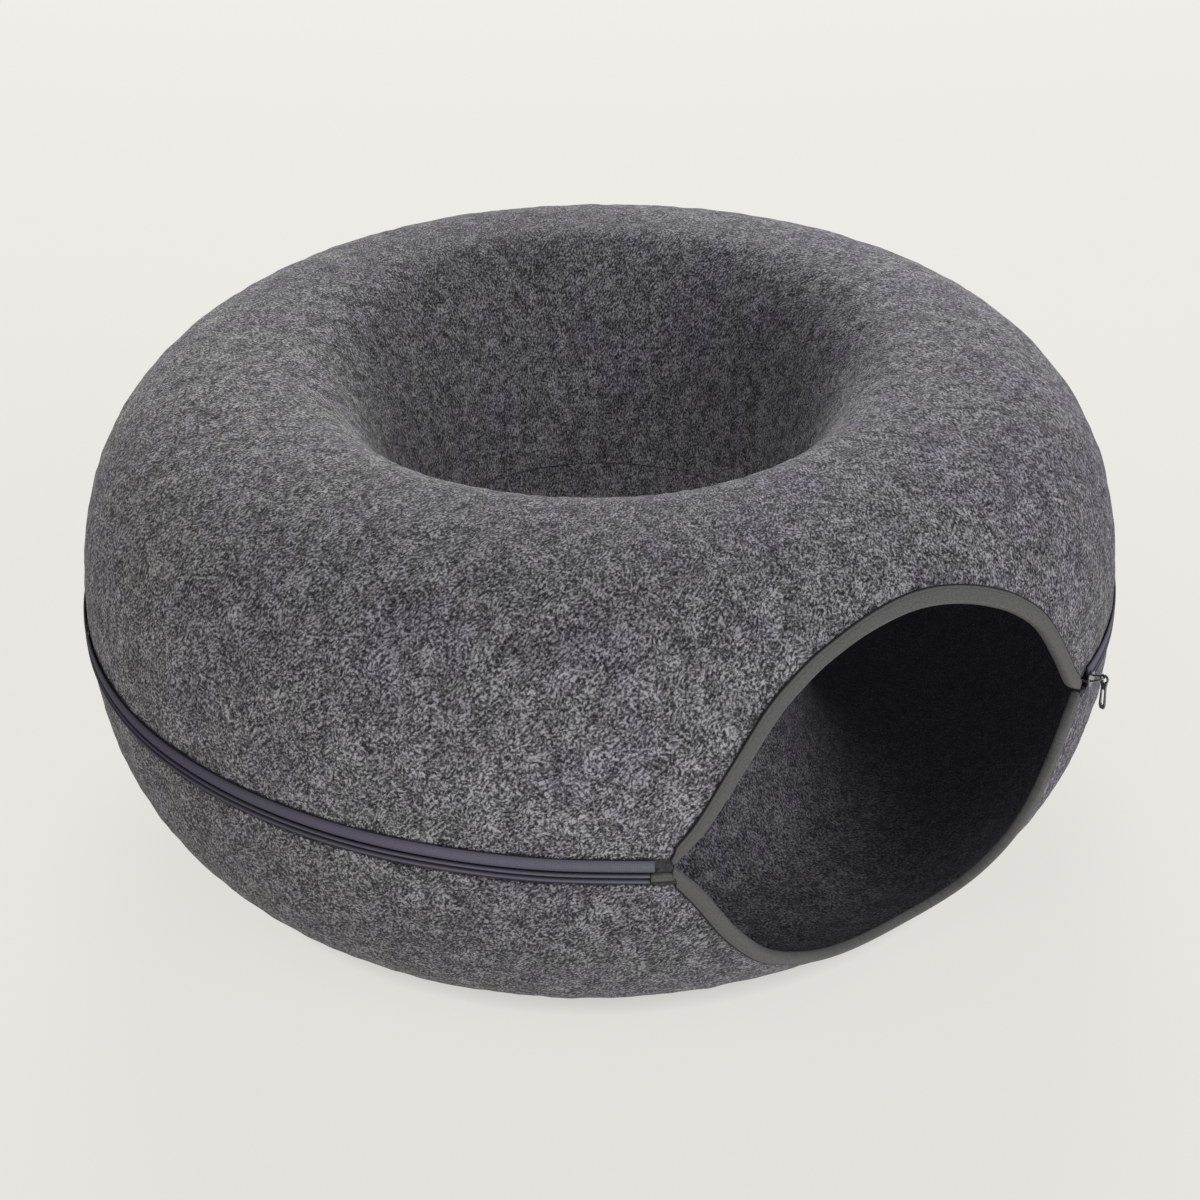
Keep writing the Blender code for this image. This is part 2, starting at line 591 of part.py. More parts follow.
def main():
    for old in list(bpy.data.objects):
        bpy.data.objects.remove(old)
    felt = material("felt", (0.115, 0.113, 0.118), 0.95)
    cloth = material("binding_cloth", (0.125, 0.125, 0.120), 0.8)
    tape = material("zip_tape_cloth", (0.13, 0.13, 0.17), 0.7)
    coil = material("zip_coil_nylon", (0.05, 0.05, 0.06), 0.45)
    metal = material("zip_metal", (0.35, 0.36, 0.38), 0.3, 1.0)
    half_shell("upper_shell", "upper", felt)
    half_shell("lower_shell", "lower", felt)
    binding("mouth_binding_upper", "upper", cloth)
    binding("mouth_binding_lower", "lower", cloth)
    zip_pieces(tape, coil)
    slider(metal)
    pull(metal)


main()
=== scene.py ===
# %% [markdown]
# # A felt cat cave
# The real thing is a hollow ring of thick grey felt. A maker presses two felt halves over a form, joins them
# with a zip round the outside and a seam in the open middle, and binds the cut edge of the mouth with tape.
# This lesson dresses the plain solids of that ring: finer felt, folded binding, woven zip tape and metal.
# Every soft piece is drawn on one curved sheet, the outer face of the felt, which is called the skin here.

from math import cos, pi, radians, sin

import bpy
import numpy as np
from mathutils import Matrix, Vector


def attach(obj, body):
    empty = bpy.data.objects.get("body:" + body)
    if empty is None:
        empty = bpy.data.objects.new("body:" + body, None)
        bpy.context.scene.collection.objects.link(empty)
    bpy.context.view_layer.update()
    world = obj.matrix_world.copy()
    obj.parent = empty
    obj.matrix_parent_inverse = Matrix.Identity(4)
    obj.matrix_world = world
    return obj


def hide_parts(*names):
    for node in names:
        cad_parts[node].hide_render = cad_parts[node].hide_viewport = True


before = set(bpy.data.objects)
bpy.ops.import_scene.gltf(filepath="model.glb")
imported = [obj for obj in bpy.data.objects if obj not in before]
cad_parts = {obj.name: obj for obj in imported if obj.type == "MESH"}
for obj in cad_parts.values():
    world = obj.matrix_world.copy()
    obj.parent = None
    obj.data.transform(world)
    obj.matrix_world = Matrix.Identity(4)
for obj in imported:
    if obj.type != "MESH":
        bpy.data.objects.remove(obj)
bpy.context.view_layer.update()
print("solids:", ", ".join(sorted(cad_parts)))

# %% [markdown]
# ## Sizes
# These are the driving sizes of the ring, its mouth and its zip, as real millimetres. The mouth's table says,
# for some turns round the ring, how far each lip stands off the zip line and how wide its binding is. The
# zip's table says how far its line wanders up, as turn in degrees and height in millimetres. Tips of the
# bindings have a leaf width and an upright share, for the left and the right end.

# %% Driving sizes
MM = 0.001

OUTER_RADIUS = 300 * MM
CREST_RADIUS = 179 * MM
WELL_RADIUS = 110 * MM
UPPER_HEIGHT = 142 * MM
LOWER_HEIGHT = 140 * MM
ZIP_HEIGHT = 138 * MM
FELT = 5 * MM
AXIS_X = 0.4 * MM
AXIS_Y = -10.2 * MM

FULLNESS_TOP_OUTER = 2.55
FULLNESS_TOP_WELL = 2.0
FULLNESS_BOTTOM = 2.3

FELT_WAVES = (
    {"round": 2, "section": 1, "phase": 0.6, "height": 0.5 * MM},
    {"round": 3, "section": 3, "phase": 0.4, "height": 0.3 * MM},
    {"round": 5, "section": 2, "phase": 2.1, "height": 0.3 * MM},
)
FELT_DENTS = (
    {"azimuth": radians(28), "arc": -20 * MM, "wide": radians(17), "tall": 70 * MM, "depth": 2.0 * MM},
    {"azimuth": radians(8), "arc": -105 * MM, "wide": radians(24), "tall": 50 * MM, "depth": 2.0 * MM},
)
WAVE_FADE = 20 * MM

MOUTH_EDGE = (
    {"azimuth": -27.7, "upper": 2.0, "upper_leaf": 8.0, "lower": -0.8, "lower_leaf": 8.0},
    {"azimuth": -25.0, "upper": 17.3, "upper_leaf": 9.0, "lower": 15.6, "lower_leaf": 9.0},
    {"azimuth": -21.0, "upper": 48.7, "upper_leaf": 9.5, "lower": 49.2, "lower_leaf": 9.0},
    {"azimuth": -17.0, "upper": 74.2, "upper_leaf": 9.6, "lower": 75.0, "lower_leaf": 8.4},
    {"azimuth": -13.0, "upper": 88.7, "upper_leaf": 9.2, "lower": 89.5, "lower_leaf": 7.2},
    {"azimuth": -8.0, "upper": 98.5, "upper_leaf": 8.8, "lower": 102.0, "lower_leaf": 6.4},
    {"azimuth": -3.0, "upper": 103.0, "upper_leaf": 9.5, "lower": 109.5, "lower_leaf": 6.2},
    {"azimuth": 2.0, "upper": 103.4, "upper_leaf": 10.2, "lower": 113.0, "lower_leaf": 6.2},
    {"azimuth": 7.0, "upper": 98.4, "upper_leaf": 10.5, "lower": 112.0, "lower_leaf": 6.2},
    {"azimuth": 11.0, "upper": 90.2, "upper_leaf": 10.6, "lower": 103.0, "lower_leaf": 6.2},
    {"azimuth": 14.5, "upper": 79.2, "upper_leaf": 10.4, "lower": 83.0, "lower_leaf": 6.2},
    {"azimuth": 17.5, "upper": 64.4, "upper_leaf": 10.0, "lower": 60.0, "lower_leaf": 6.8},
    {"azimuth": 20.5, "upper": 38.9, "upper_leaf": 9.8, "lower": 31.0, "lower_leaf": 7.4},
    {"azimuth": 23.5, "upper": 14.9, "upper_leaf": 9.8, "lower": 10.5, "lower_leaf": 8.0},
    {"azimuth": 26.3, "upper": 3.8, "upper_leaf": 9.0, "lower": -2.6, "lower_leaf": 8.4},
)
MOUTH_LEFT = radians(MOUTH_EDGE[0]["azimuth"])
MOUTH_RIGHT = radians(MOUTH_EDGE[-1]["azimuth"])

SEAM_RISE = 12 * MM
GAP = 0.3 * MM

BINDING = 0.9 * MM
PINCHED_FELT = 2.8 * MM
PINCH_DEPTH = 11 * MM
PINCH_FADE = 6 * MM
INNER_LEAF_SHARE = 0.6
TIP_LEAF = {"upper": (6.0 * MM, 7.8 * MM), "lower": (7.1 * MM, 8.4 * MM)}
TIP_UPRIGHT = {"upper": (0.62, 0.9), "lower": (1.0, 1.0)}
TIP_LENGTH = 11 * MM
FELT_SET_BACK = 2.6 * MM
TAIL_LENGTH = 11.7 * MM
TAIL_FOLD = 3.0 * MM
TAIL_LEAF = 5.0 * MM

ZIP_SLIT = 0.5 * MM
ZIP_TAPE = 1.2 * MM
TAPE_UPPER_WIDTH = 7.6 * MM
TAPE_LOWER_WIDTH = 6.6 * MM
FELT_ZIP_EDGE = 4.6 * MM
ZIP_DIP = -2.0 * MM
ZIP_RISE = 3.8 * MM
ZIP_BEND = radians(24)
ZIP_WANDER = (
    (0, 0), (80, 0), (150, 0), (200, 0), (235, 1.2), (262, 1.3), (270, 1.5), (278, 2.3), (288, 2.45),
    (300, 2.1), (310, 1.65), (320, 0.95), (327, 0.8), (331, 0.2), (333, 0), (400, 0),
)
TAB_LENGTH = 8.5 * MM
TAB_DROP = 0.4 * MM
LOWER_END_SHORTER = 2.6 * MM
SLIDER_AZIMUTH = radians(28.8)

TAB_END = MOUTH_LEFT - 2 * GAP / OUTER_RADIUS
TAB_START = TAB_END - TAB_LENGTH / OUTER_RADIUS

# %% [markdown]
# ## The skin
# Felt that is moulded over a form keeps one section all the way round. The section is drawn from four
# quarters of a squared ellipse. Any point on the felt then has three numbers: its turn round the ring
# (azimuth), its length along the felt from the zip line (arc) and its height off the outer face (lift).
# Arrays of these numbers go in, and arrays of points in space come out.

# %% The section and the skin
def quarter(start, fullness, points=240):
    """One quarter of the section: radius = crest + half width x cos^(2/n), height = half x sin^(2/n)."""
    turn = np.linspace(start, start + pi / 2, points)
    side, rise = np.cos(turn), np.sin(turn)
    half_width = np.where(side >= 0, OUTER_RADIUS - CREST_RADIUS, CREST_RADIUS - WELL_RADIUS)
    radius = CREST_RADIUS + half_width * np.sign(side) * np.abs(side) ** (2 / fullness)
    half_height = np.where(rise >= 0, UPPER_HEIGHT, LOWER_HEIGHT)
    height = half_height * np.sign(rise) * np.abs(rise) ** (2 / fullness)
    return radius, height


def section_curve():
    """The outer section, resampled at even steps of arc, with its outward normal across the tangent."""
    fullness = (FULLNESS_TOP_OUTER, FULLNESS_TOP_WELL, FULLNESS_BOTTOM, FULLNESS_BOTTOM)
    quarters = [quarter(turn * pi / 2, n) for turn, n in enumerate(fullness)]
    radius = np.concatenate([q[0][:-1] for q in quarters] + [quarters[0][0][:1]])
    height = np.concatenate([q[1][:-1] for q in quarters] + [quarters[0][1][:1]])
    height = np.maximum(height, -ZIP_HEIGHT)
    arc = np.concatenate([[0], np.cumsum(np.hypot(np.diff(radius), np.diff(height)))])
    even = np.linspace(0, arc[-1], 1600)
    radius, height = np.interp(even, arc, radius), np.interp(even, arc, height)
    around = np.gradient(radius[:-1], edge_order=1), np.gradient(height[:-1], edge_order=1)
    smooth = [np.convolve(np.concatenate([g[-4:], g, g[:4]]), np.ones(9) / 9, "valid") for g in around]
    size = np.hypot(*smooth)
    normal_r = np.append(smooth[1] / size, smooth[1][0] / size[0])
    normal_z = np.append(-smooth[0] / size, -smooth[0][0] / size[0])
    return even, radius, height, normal_r, normal_z


ARC, RADIUS, HEIGHT, NORMAL_R, NORMAL_Z = section_curve()
GIRTH = ARC[-1]


def waves(azimuth, arc):
    """Lift of the soft waves: a sum of height x sin(m azimuth + n section turn + phase), less round dents."""
    turn = 2 * pi * arc / GIRTH
    off_floor = np.clip((np.interp(arc % GIRTH, ARC, HEIGHT) + ZIP_HEIGHT) / WAVE_FADE, 0, 1)
    total = sum(
        w["height"] * np.sin(w["round"] * azimuth + w["section"] * turn + w["phase"]) for w in FELT_WAVES
    )
    for dent in FELT_DENTS:
        across = (azimuth - dent["azimuth"] + pi) % (2 * pi) - pi
        along = (arc - dent["arc"] + GIRTH / 2) % GIRTH - GIRTH / 2
        total = total - dent["depth"] * np.exp(-((across / dent["wide"]) ** 2) - (along / dent["tall"]) ** 2)
    return total * off_floor


def skin(azimuth, arc, lift):
    """Points in space: the section's point at that arc, pushed along its normal, then turned by azimuth."""
    azimuth, arc, lift = np.broadcast_arrays(azimuth, arc, lift)
    place = arc % GIRTH
    off = lift + waves(azimuth, arc)
    radius = np.interp(place, ARC, RADIUS) + off * np.interp(place, ARC, NORMAL_R)
    height = np.interp(place, ARC, HEIGHT) + off * np.interp(place, ARC, NORMAL_Z)
    return np.stack(
        [AXIS_X + radius * np.sin(azimuth), AXIS_Y - radius * np.cos(azimuth), ZIP_HEIGHT + height], axis=-1
    )


print(f"the felt's section is {GIRTH * 1000:.0f} mm round")

# %% [markdown]
# ## The mouth's edge
# A maker cuts the mouth out of both halves before binding it. Each lip is a smooth curve through the table's
# rows. For its binding every point of a lip also needs the direction that leads into the felt, square to the
# cut, because the tape is folded over square to the edge.

# %% The lips and the cut edges
def arc_at_height(height, lower=False):
    """The arc on the outer wall at a height off the zip line, read backwards from the section."""
    arcs = np.linspace(-0.05, 0.22, 600) * GIRTH
    if lower:
        return -np.interp(height, -np.interp((-arcs) % GIRTH, ARC, HEIGHT), arcs)
    return np.interp(height, np.interp(arcs % GIRTH, ARC, HEIGHT), arcs)


def smooth_through(x, known_x, known_y):
    """A cubic on each span between known points, with slopes taken from their neighbours."""
    slope = np.gradient(known_y, known_x)
    span = np.clip(np.searchsorted(known_x, x) - 1, 0, len(known_x) - 2)
    width = known_x[span + 1] - known_x[span]
    t = (x - known_x[span]) / width
    rise = known_y[span] * (2 * t**3 - 3 * t**2 + 1) + known_y[span + 1] * (3 * t**2 - 2 * t**3)
    return rise + width * (slope[span] * (t**3 - 2 * t**2 + t) + slope[span + 1] * (t**3 - t**2))


def mouth_column(azimuth, name):
    degrees = np.array([row["azimuth"] for row in MOUTH_EDGE])
    return smooth_through(np.degrees(azimuth), degrees, np.array([row[name] for row in MOUTH_EDGE]) * MM)


def mouth_arc(azimuth, lip):
    return arc_at_height(mouth_column(azimuth, lip), lower=(lip == "lower"))


def walked_along(azimuth, arc):
    """Length along the skin up to each point of a line: the sum of hypot(radius x turn, arc) steps."""
    radius = np.interp(arc % GIRTH, ARC, RADIUS)
    return np.concatenate([[0], np.cumsum(np.hypot(np.diff(azimuth) * radius[1:], np.diff(arc)))])


def lip_stations(lip, columns):
    """Azimuths from one corner of the mouth to the other, evenly spaced along the lip."""
    fine = np.linspace(MOUTH_LEFT, MOUTH_RIGHT, 800)
    walked = walked_along(fine, mouth_arc(fine, lip))
    return np.interp(np.linspace(0, walked[-1], columns), walked, fine)


def lip_frame(lip, azimuth):
    """For each station of a lip: azimuth, arc, unit direction into the felt, radius and the leaf's width."""
    arc = mouth_arc(azimuth, lip)
    radius = np.interp(arc % GIRTH, ARC, RADIUS)
    along_x = np.gradient(azimuth) * radius
    along_y = np.gradient(arc)
    size = np.hypot(along_x, along_y)
    up = 1 if lip == "upper" else -1
    into_x, into_y = -up * along_y / size, up * along_x / size
    walked = walked_along(azimuth, arc)
    tip = 1 - np.clip(np.minimum(walked, walked[-1] - walked) / TIP_LENGTH, 0, 1)
    tip = tip * tip * (3 - 2 * tip)
    at_left = walked < walked[-1] / 2
    upright = tip * np.where(at_left, *TIP_UPRIGHT[lip])
    into_x, into_y = into_x * (1 - upright), into_y * (1 - upright) + up * upright
    size = np.hypot(into_x, into_y)
    leaf = mouth_column(azimuth, lip + "_leaf")
    leaf = leaf + (np.where(at_left, *TIP_LEAF[lip]) - leaf) * tip
    return azimuth, arc, into_x / size, into_y / size, radius, leaf


def zip_line(azimuth):
    """The arc of the zip's slit: a quadratic dip and rise over the last turns, and a wander in between."""
    to_left = 1 - np.clip((2 * pi + TAB_START - azimuth) / ZIP_BEND, 0, 1)
    to_right = 1 - np.clip((azimuth - SLIDER_AZIMUTH) / ZIP_BEND, 0, 1)
    known = np.array(ZIP_WANDER)
    wander = smooth_through(np.clip(np.degrees(azimuth), *known[[0, -1], 0]), known[:, 0], known[:, 1] * MM)
    return ZIP_DIP * to_left**2 + ZIP_RISE * to_right**2 + wander


def felt_edge(azimuth, lip):
    """Arc of the felt's cut edge: set back from the lip in the mouth, and from the zip line elsewhere."""
    sign = 1 if lip == "upper" else -1
    along, arc, into_x, into_y, radius, _ = lip_frame(lip, np.linspace(MOUTH_LEFT, MOUTH_RIGHT, 400))
    cut = np.interp(azimuth, along + FELT_SET_BACK * into_x / radius, arc + FELT_SET_BACK * into_y)
    inside = (azimuth > MOUTH_LEFT - 1e-9) & (azimuth < MOUTH_RIGHT + 1e-9)
    zip_edge = zip_line(np.where(azimuth < 0, azimuth + 2 * pi, azimuth)) * ~inside + sign * FELT_ZIP_EDGE
    edge = np.where(inside, sign * np.maximum(sign * cut, sign * zip_edge), zip_edge)
    if lip == "upper":
        on_tab = (azimuth > TAB_START - 1e-9) & (azimuth < TAB_END + 1e-9)
        edge = np.where(on_tab, ZIP_DIP - TAB_DROP, edge)
    return edge


def with_tail(azimuth, arc, into_x, into_y, radius, leaf, points=8):
    """The lower lip's stations, carried on past the left corner along the zip's edge."""
    ends = np.linspace(-TAIL_LENGTH, -2 * GAP, points) / OUTER_RADIUS
    return (
        np.concatenate([MOUTH_LEFT + ends, azimuth]),
        np.concatenate([np.full(points, -TAIL_FOLD), arc]),
        np.concatenate([np.zeros(points), into_x]),
        np.concatenate([np.full(points, -1.0), into_y]),
        np.concatenate([np.full(points, OUTER_RADIUS), radius]),
        np.concatenate([np.full(points, TAIL_LEAF), leaf]),
    )


# %% [markdown]
# ## From arrays to a mesh
# One helper turns a grid of points into a mesh. It also stores, for each point, where that point lies on its
# cloth. The materials read this, so weave and fibres follow the surface and don't slide over it.

# %% Grid meshes
def grid_piece(name, points, made_of, place, ring=False, **more):
    """A mesh from a grid of points (rows, columns, 3), whose last column joins the first. A ring also joins
    its last row to the first, and an open tube is closed by a fan round the middle of each end row. place and
    more are vectors for the materials, one for each point."""
    rows, columns = points.shape[:2]
    index = np.arange(rows * columns).reshape(rows, columns)
    first = index if ring else index[:-1]
    after = np.roll(index, -1, axis=0) if ring else index[1:]
    quads = np.stack([first, np.roll(first, -1, axis=1), np.roll(after, -1, axis=1), after], axis=-1)
    faces = quads.reshape(-1, 4).tolist()
    stored = {"place": points, "cloth_place": place, **more}
    stored = {key: np.asarray(value).reshape(-1, 3) for key, value in stored.items()}
    if not ring:
        ends = {key: value.reshape(rows, columns, 3)[[0, -1]].mean(axis=1) for key, value in stored.items()}
        stored = {key: np.concatenate([value, ends[key]]) for key, value in stored.items()}
        start, end = rows * columns, rows * columns + 1
        faces += [[a, start, b] for a, b in zip(index[0], np.roll(index[0], -1))]
        faces += [[b, end, a] for a, b in zip(index[-1], np.roll(index[-1], -1))]
    mesh = bpy.data.meshes.new(name)
    mesh.from_pydata(stored.pop("place").tolist(), [], faces)
    for key, value in stored.items():
        stored_on = mesh.attributes.new(key, "FLOAT_VECTOR", "POINT")
        stored_on.data.foreach_set("vector", value.astype(np.float32).ravel())
    mesh.materials.append(made_of)
    mesh.shade_smooth()
    mesh.validate()
    piece = bpy.data.objects.new(name, mesh)
    bpy.context.scene.collection.objects.link(piece)
    face_outwards(piece)
    return piece


def face_outwards(piece):
    """Turns every face over if the closed mesh's volume comes out negative."""
    mesh = piece.data
    mesh.calc_loop_triangles()
    corners = np.empty(len(mesh.loop_triangles) * 3, dtype=np.int32)
    mesh.loop_triangles.foreach_get("vertices", corners)
    points = np.empty(len(mesh.vertices) * 3, dtype=np.float32)
    mesh.vertices.foreach_get("co", points)
    a, b, c = points.reshape(-1, 3)[corners.reshape(-1, 3)].astype(float).transpose(1, 0, 2)
    if np.einsum("ij,ij->i", a, np.cross(b, c)).sum() < 0:
        mesh.flip_normals()
    print(f"{piece.name}: {len(corners) // 3} triangles")


# %% [markdown]
# ## Shader groups
# Felt, binding and zip tape all carry fine fibres and uneven dye, at other sizes and strengths. So these two
# effects are node groups: one mixes light and dark fibres into a marl, and one draws the ribs of a weave.

# %% Helpers for shader nodes
def new_group(name, inputs, outputs):
    """A shader node group with named sockets. Inputs are (name, kind, default)."""
    group = bpy.data.node_groups.new(name, "ShaderNodeTree")
    for label, kind, default in inputs:
        socket = group.interface.new_socket(name=label, in_out="INPUT", socket_type=kind)
        socket.default_value = default
    for label, kind in outputs:
        group.interface.new_socket(name=label, in_out="OUTPUT", socket_type=kind)
    return group, group.nodes.new("NodeGroupInput"), group.nodes.new("NodeGroupOutput")


def node(tree, kind, settings=None, **sockets):
    """A node with its settings, and its inputs set by name: a value, or an output socket to link."""
    made = tree.nodes.new(kind)
    for key, value in (settings or {}).items():
        setattr(made, key, value)
    for key, value in sockets.items():
        socket = made.inputs[int(key[1:])] if key[0] == "i" and key[1:].isdigit() else made.inputs[key]
        if isinstance(value, bpy.types.NodeSocket):
            tree.links.new(value, socket)
        else:
            socket.default_value = value
    return made


def math(tree, operation, a, b=0.0, clamp=False):
    return node(tree, "ShaderNodeMath", {"operation": operation, "use_clamp": clamp}, i0=a, i1=b).outputs[0]


def mix_color(tree, factor, a, b, blend="MIX"):
    made = node(tree, "ShaderNodeMix", {"data_type": "RGBA", "blend_type": blend}, i0=factor, i6=a, i7=b)
    return made.outputs[2]


def noise(tree, where, scale, detail=2.0, roughness=0.5, distortion=0.0):
    made = node(
        tree, "ShaderNodeTexNoise", {"noise_dimensions": "3D"},
        Vector=where, Scale=scale, Detail=detail, Roughness=roughness, Distortion=distortion,
    )
    return made.outputs["Fac"]


def stretched(tree, value, low, high):
    """Maps low..high to 0..1 and holds it there."""
    made = node(tree, "ShaderNodeMapRange", {"clamp": True}, i0=value, i1=low, i2=high, i3=0.0, i4=1.0)
    return made.outputs[0]


# %% The marl of mixed fibres
def marl_group():
    """Dashes of light and dark fibre that swirl from place to place, over clumps and two dyes in patches.
    Dashes are flat noise, drawn out along the grain, and the grain is bent first by a slower noise."""
    color, number, vector = "NodeSocketColor", "NodeSocketFloat", "NodeSocketVector"
    tree, given, out = new_group(
        "fibre_marl",
        [
            ("Place", vector, (0, 0, 0)), ("Grain", vector, (0, 0, 0)), ("Solid", vector, (0, 0, 0)),
            ("Dark", color, (0.05, 0.05, 0.05, 1)), ("Middle", color, (0.12, 0.12, 0.12, 1)),
            ("Light", color, (0.25, 0.25, 0.25, 1)), ("Cool", color, (0.94, 0.91, 1.0, 1)),
            ("Warm", color, (0.99, 0.995, 0.965, 1)), ("Fibre scale", number, 680.0),
            ("Clump scale", number, 150.0), ("Patch scale", number, 18.0),
        ],
        [("Color", color), ("Fibre height", number)],
    )
    place, grain, scale = (given.outputs[name] for name in ("Place", "Grain", "Fibre scale"))
    slow = node(
        tree, "ShaderNodeTexNoise", {"noise_dimensions": "2D"}, Vector=grain, Scale=55.0, Detail=1.0,
    ).outputs
    swing = node(tree, "ShaderNodeVectorMath", {"operation": "SCALE"}, i0=slow["Color"], i3=0.009).outputs[0]
    bent = node(tree, "ShaderNodeVectorMath", {"operation": "ADD"}, i0=grain, i1=swing).outputs[0]
    drawn = node(
        tree, "ShaderNodeMapping", {"vector_type": "TEXTURE"},
        Vector=bent, Rotation=(0, 0, 0.8), Scale=(1.7, 1.0, 1.0),
    ).outputs[0]
    laid = node(
        tree, "ShaderNodeTexNoise", {"noise_dimensions": "2D"},
        Vector=drawn, Scale=scale, Detail=1.0, Roughness=0.6, Distortion=0.3,
    ).outputs["Fac"]
    solid = given.outputs["Solid"]
    hairs = noise(tree, solid, math(tree, "MULTIPLY", scale, 1.25), 1.0, 0.5, 0.3)
    clumps = noise(tree, solid, given.outputs["Clump scale"], 2.0, 0.6)
    mixed = math(tree, "ADD", math(tree, "MULTIPLY", laid, 0.5), math(tree, "MULTIPLY", hairs, 0.5))
    mixed = math(tree, "ADD", mixed, math(tree, "MULTIPLY", math(tree, "SUBTRACT", clumps, 0.5), 0.30))
    base = mix_color(tree, stretched(tree, mixed, 0.50, 0.37), given.outputs["Middle"], given.outputs["Dark"])
    base = mix_color(tree, stretched(tree, mixed, 0.50, 0.64), base, given.outputs["Light"])
    patch = given.outputs["Patch scale"]
    away = node(tree, "ShaderNodeVectorMath", {"operation": "ADD"}, i0=place, i1=(3.1, 1.7, 0.9)).outputs[0]
    for dye, where in (("Cool", place), ("Warm", away)):
        share = stretched(tree, noise(tree, where, patch, 2.0, 0.6), 0.42, 0.62)
        base = mix_color(tree, share, base, given.outputs[dye], "MULTIPLY")
    worn = math(tree, "ADD", math(tree, "MULTIPLY", slow["Fac"], 0.7), 0.65)
    base = node(tree, "ShaderNodeVectorMath", {"operation": "SCALE"}, i0=base, i3=worn).outputs[0]
    tree.links.new(base, out.inputs["Color"])
    tree.links.new(hairs, out.inputs["Fibre height"])
    return tree


# %% The ribs of a weave
def weave_group():
    """Ribs and crossing picks as the sine of the cloth's own place. X runs along the tape, Y across it."""
    number, vector = "NodeSocketFloat", "NodeSocketVector"
    tree, given, out = new_group(
        "tape_weave",
        [("Place", vector, (0, 0, 0)), ("Rib width", number, 0.0008), ("Pick width", number, 0.0006)],
        [("Height", number), ("Uneven", number)],
    )
    split = node(tree, "ShaderNodeSeparateXYZ", Vector=given.outputs["Place"])
    along, across = split.outputs[0], split.outputs[1]

    def wave(where, width):
        turns = math(tree, "DIVIDE", where, width)
        return math(tree, "SINE", math(tree, "MULTIPLY", turns, 2 * pi))

    ribs = wave(along, given.outputs["Rib width"])
    picks = wave(across, given.outputs["Pick width"])
    height = math(tree, "MULTIPLY", math(tree, "ADD", ribs, picks), 0.25)
    height = math(tree, "ADD", height, 0.5)
    uneven = noise(tree, given.outputs["Place"], 700.0, 3.0, 0.6)
    tree.links.new(height, out.inputs["Height"])
    tree.links.new(uneven, out.inputs["Uneven"])
    return tree


MARL = marl_group()
WEAVE = weave_group()
print("shader groups:", MARL.name, WEAVE.name)

# %% [markdown]
# ## Materials
# Wool-like felt is matte, with a faint sheen. The binding is a flat ribbed tape, the zip tape is woven and a
# little smoother, the coil is dark nylon, and the slider is grey metal. All of them are fixed to the cloth:
# they read its own place, so they look the same from every side.

# %% Material helper
def material(name, roughness, sheen=0.0, metallic=0.0):
    """An empty principled material, with the settings that are the same all over the surface."""
    made = bpy.data.materials.new(name)
    made.use_nodes = True
    shader = made.node_tree.nodes["Principled BSDF"]
    shader.inputs["Roughness"].default_value = roughness
    shader.inputs["Metallic"].default_value = metallic
    shader.inputs["Sheen Weight"].default_value = sheen
    shader.inputs["Sheen Roughness"].default_value = 0.6
    shader.inputs["Specular IOR Level"].default_value = 0.25 if not metallic else 0.5
    return made, made.node_tree, shader


def cloth_place(tree):
    return node(tree, "ShaderNodeAttribute", {"attribute_name": "cloth_place"}).outputs["Vector"]


def bump(tree, shader, height, strength, distance):
    made = node(tree, "ShaderNodeBump", Strength=strength, Distance=distance, Height=height)
    tree.links.new(made.outputs["Normal"], shader.inputs["Normal"])


# %% Felt
FELT_DYES = {
    "Dark": (0.020, 0.019, 0.024, 1), "Middle": (0.120, 0.118, 0.131, 1), "Light": (0.380, 0.375, 0.412, 1),
}
# Painted shade on the felt along a band next to the zip tape, where the felt dives under it.
GROOVE = (8.5 * MM, 9.5 * MM)
GROOVE_RAGGED = 4.0 * MM
GROOVE_PAINTED_SHADE = 0.75
# Painted shade: the felt on the tab is painted dark and almost plain, for the shadow of tape and binding.
TAB_PAINTED_SHADE = (0.030, 0.029, 0.033, 1)
TAB_SHARE = 0.9
# A yellower tint on the felt's left side.
LEFT_TINT_COLOR = (1.0, 1.0, 0.92, 1)
# Painted light: a faint glow on the felt's inner face.
INNER_PAINTED_GLOW = (0.0042, 0.0041, 0.0056)


def between(tree, value, low, high, soft):
    """1 between low and high, falling to 0 over the soft width outside them."""
    rise, fall = stretched(tree, value, low - soft, low), stretched(tree, value, high + soft, high)
    return math(tree, "MULTIPLY", rise, fall)


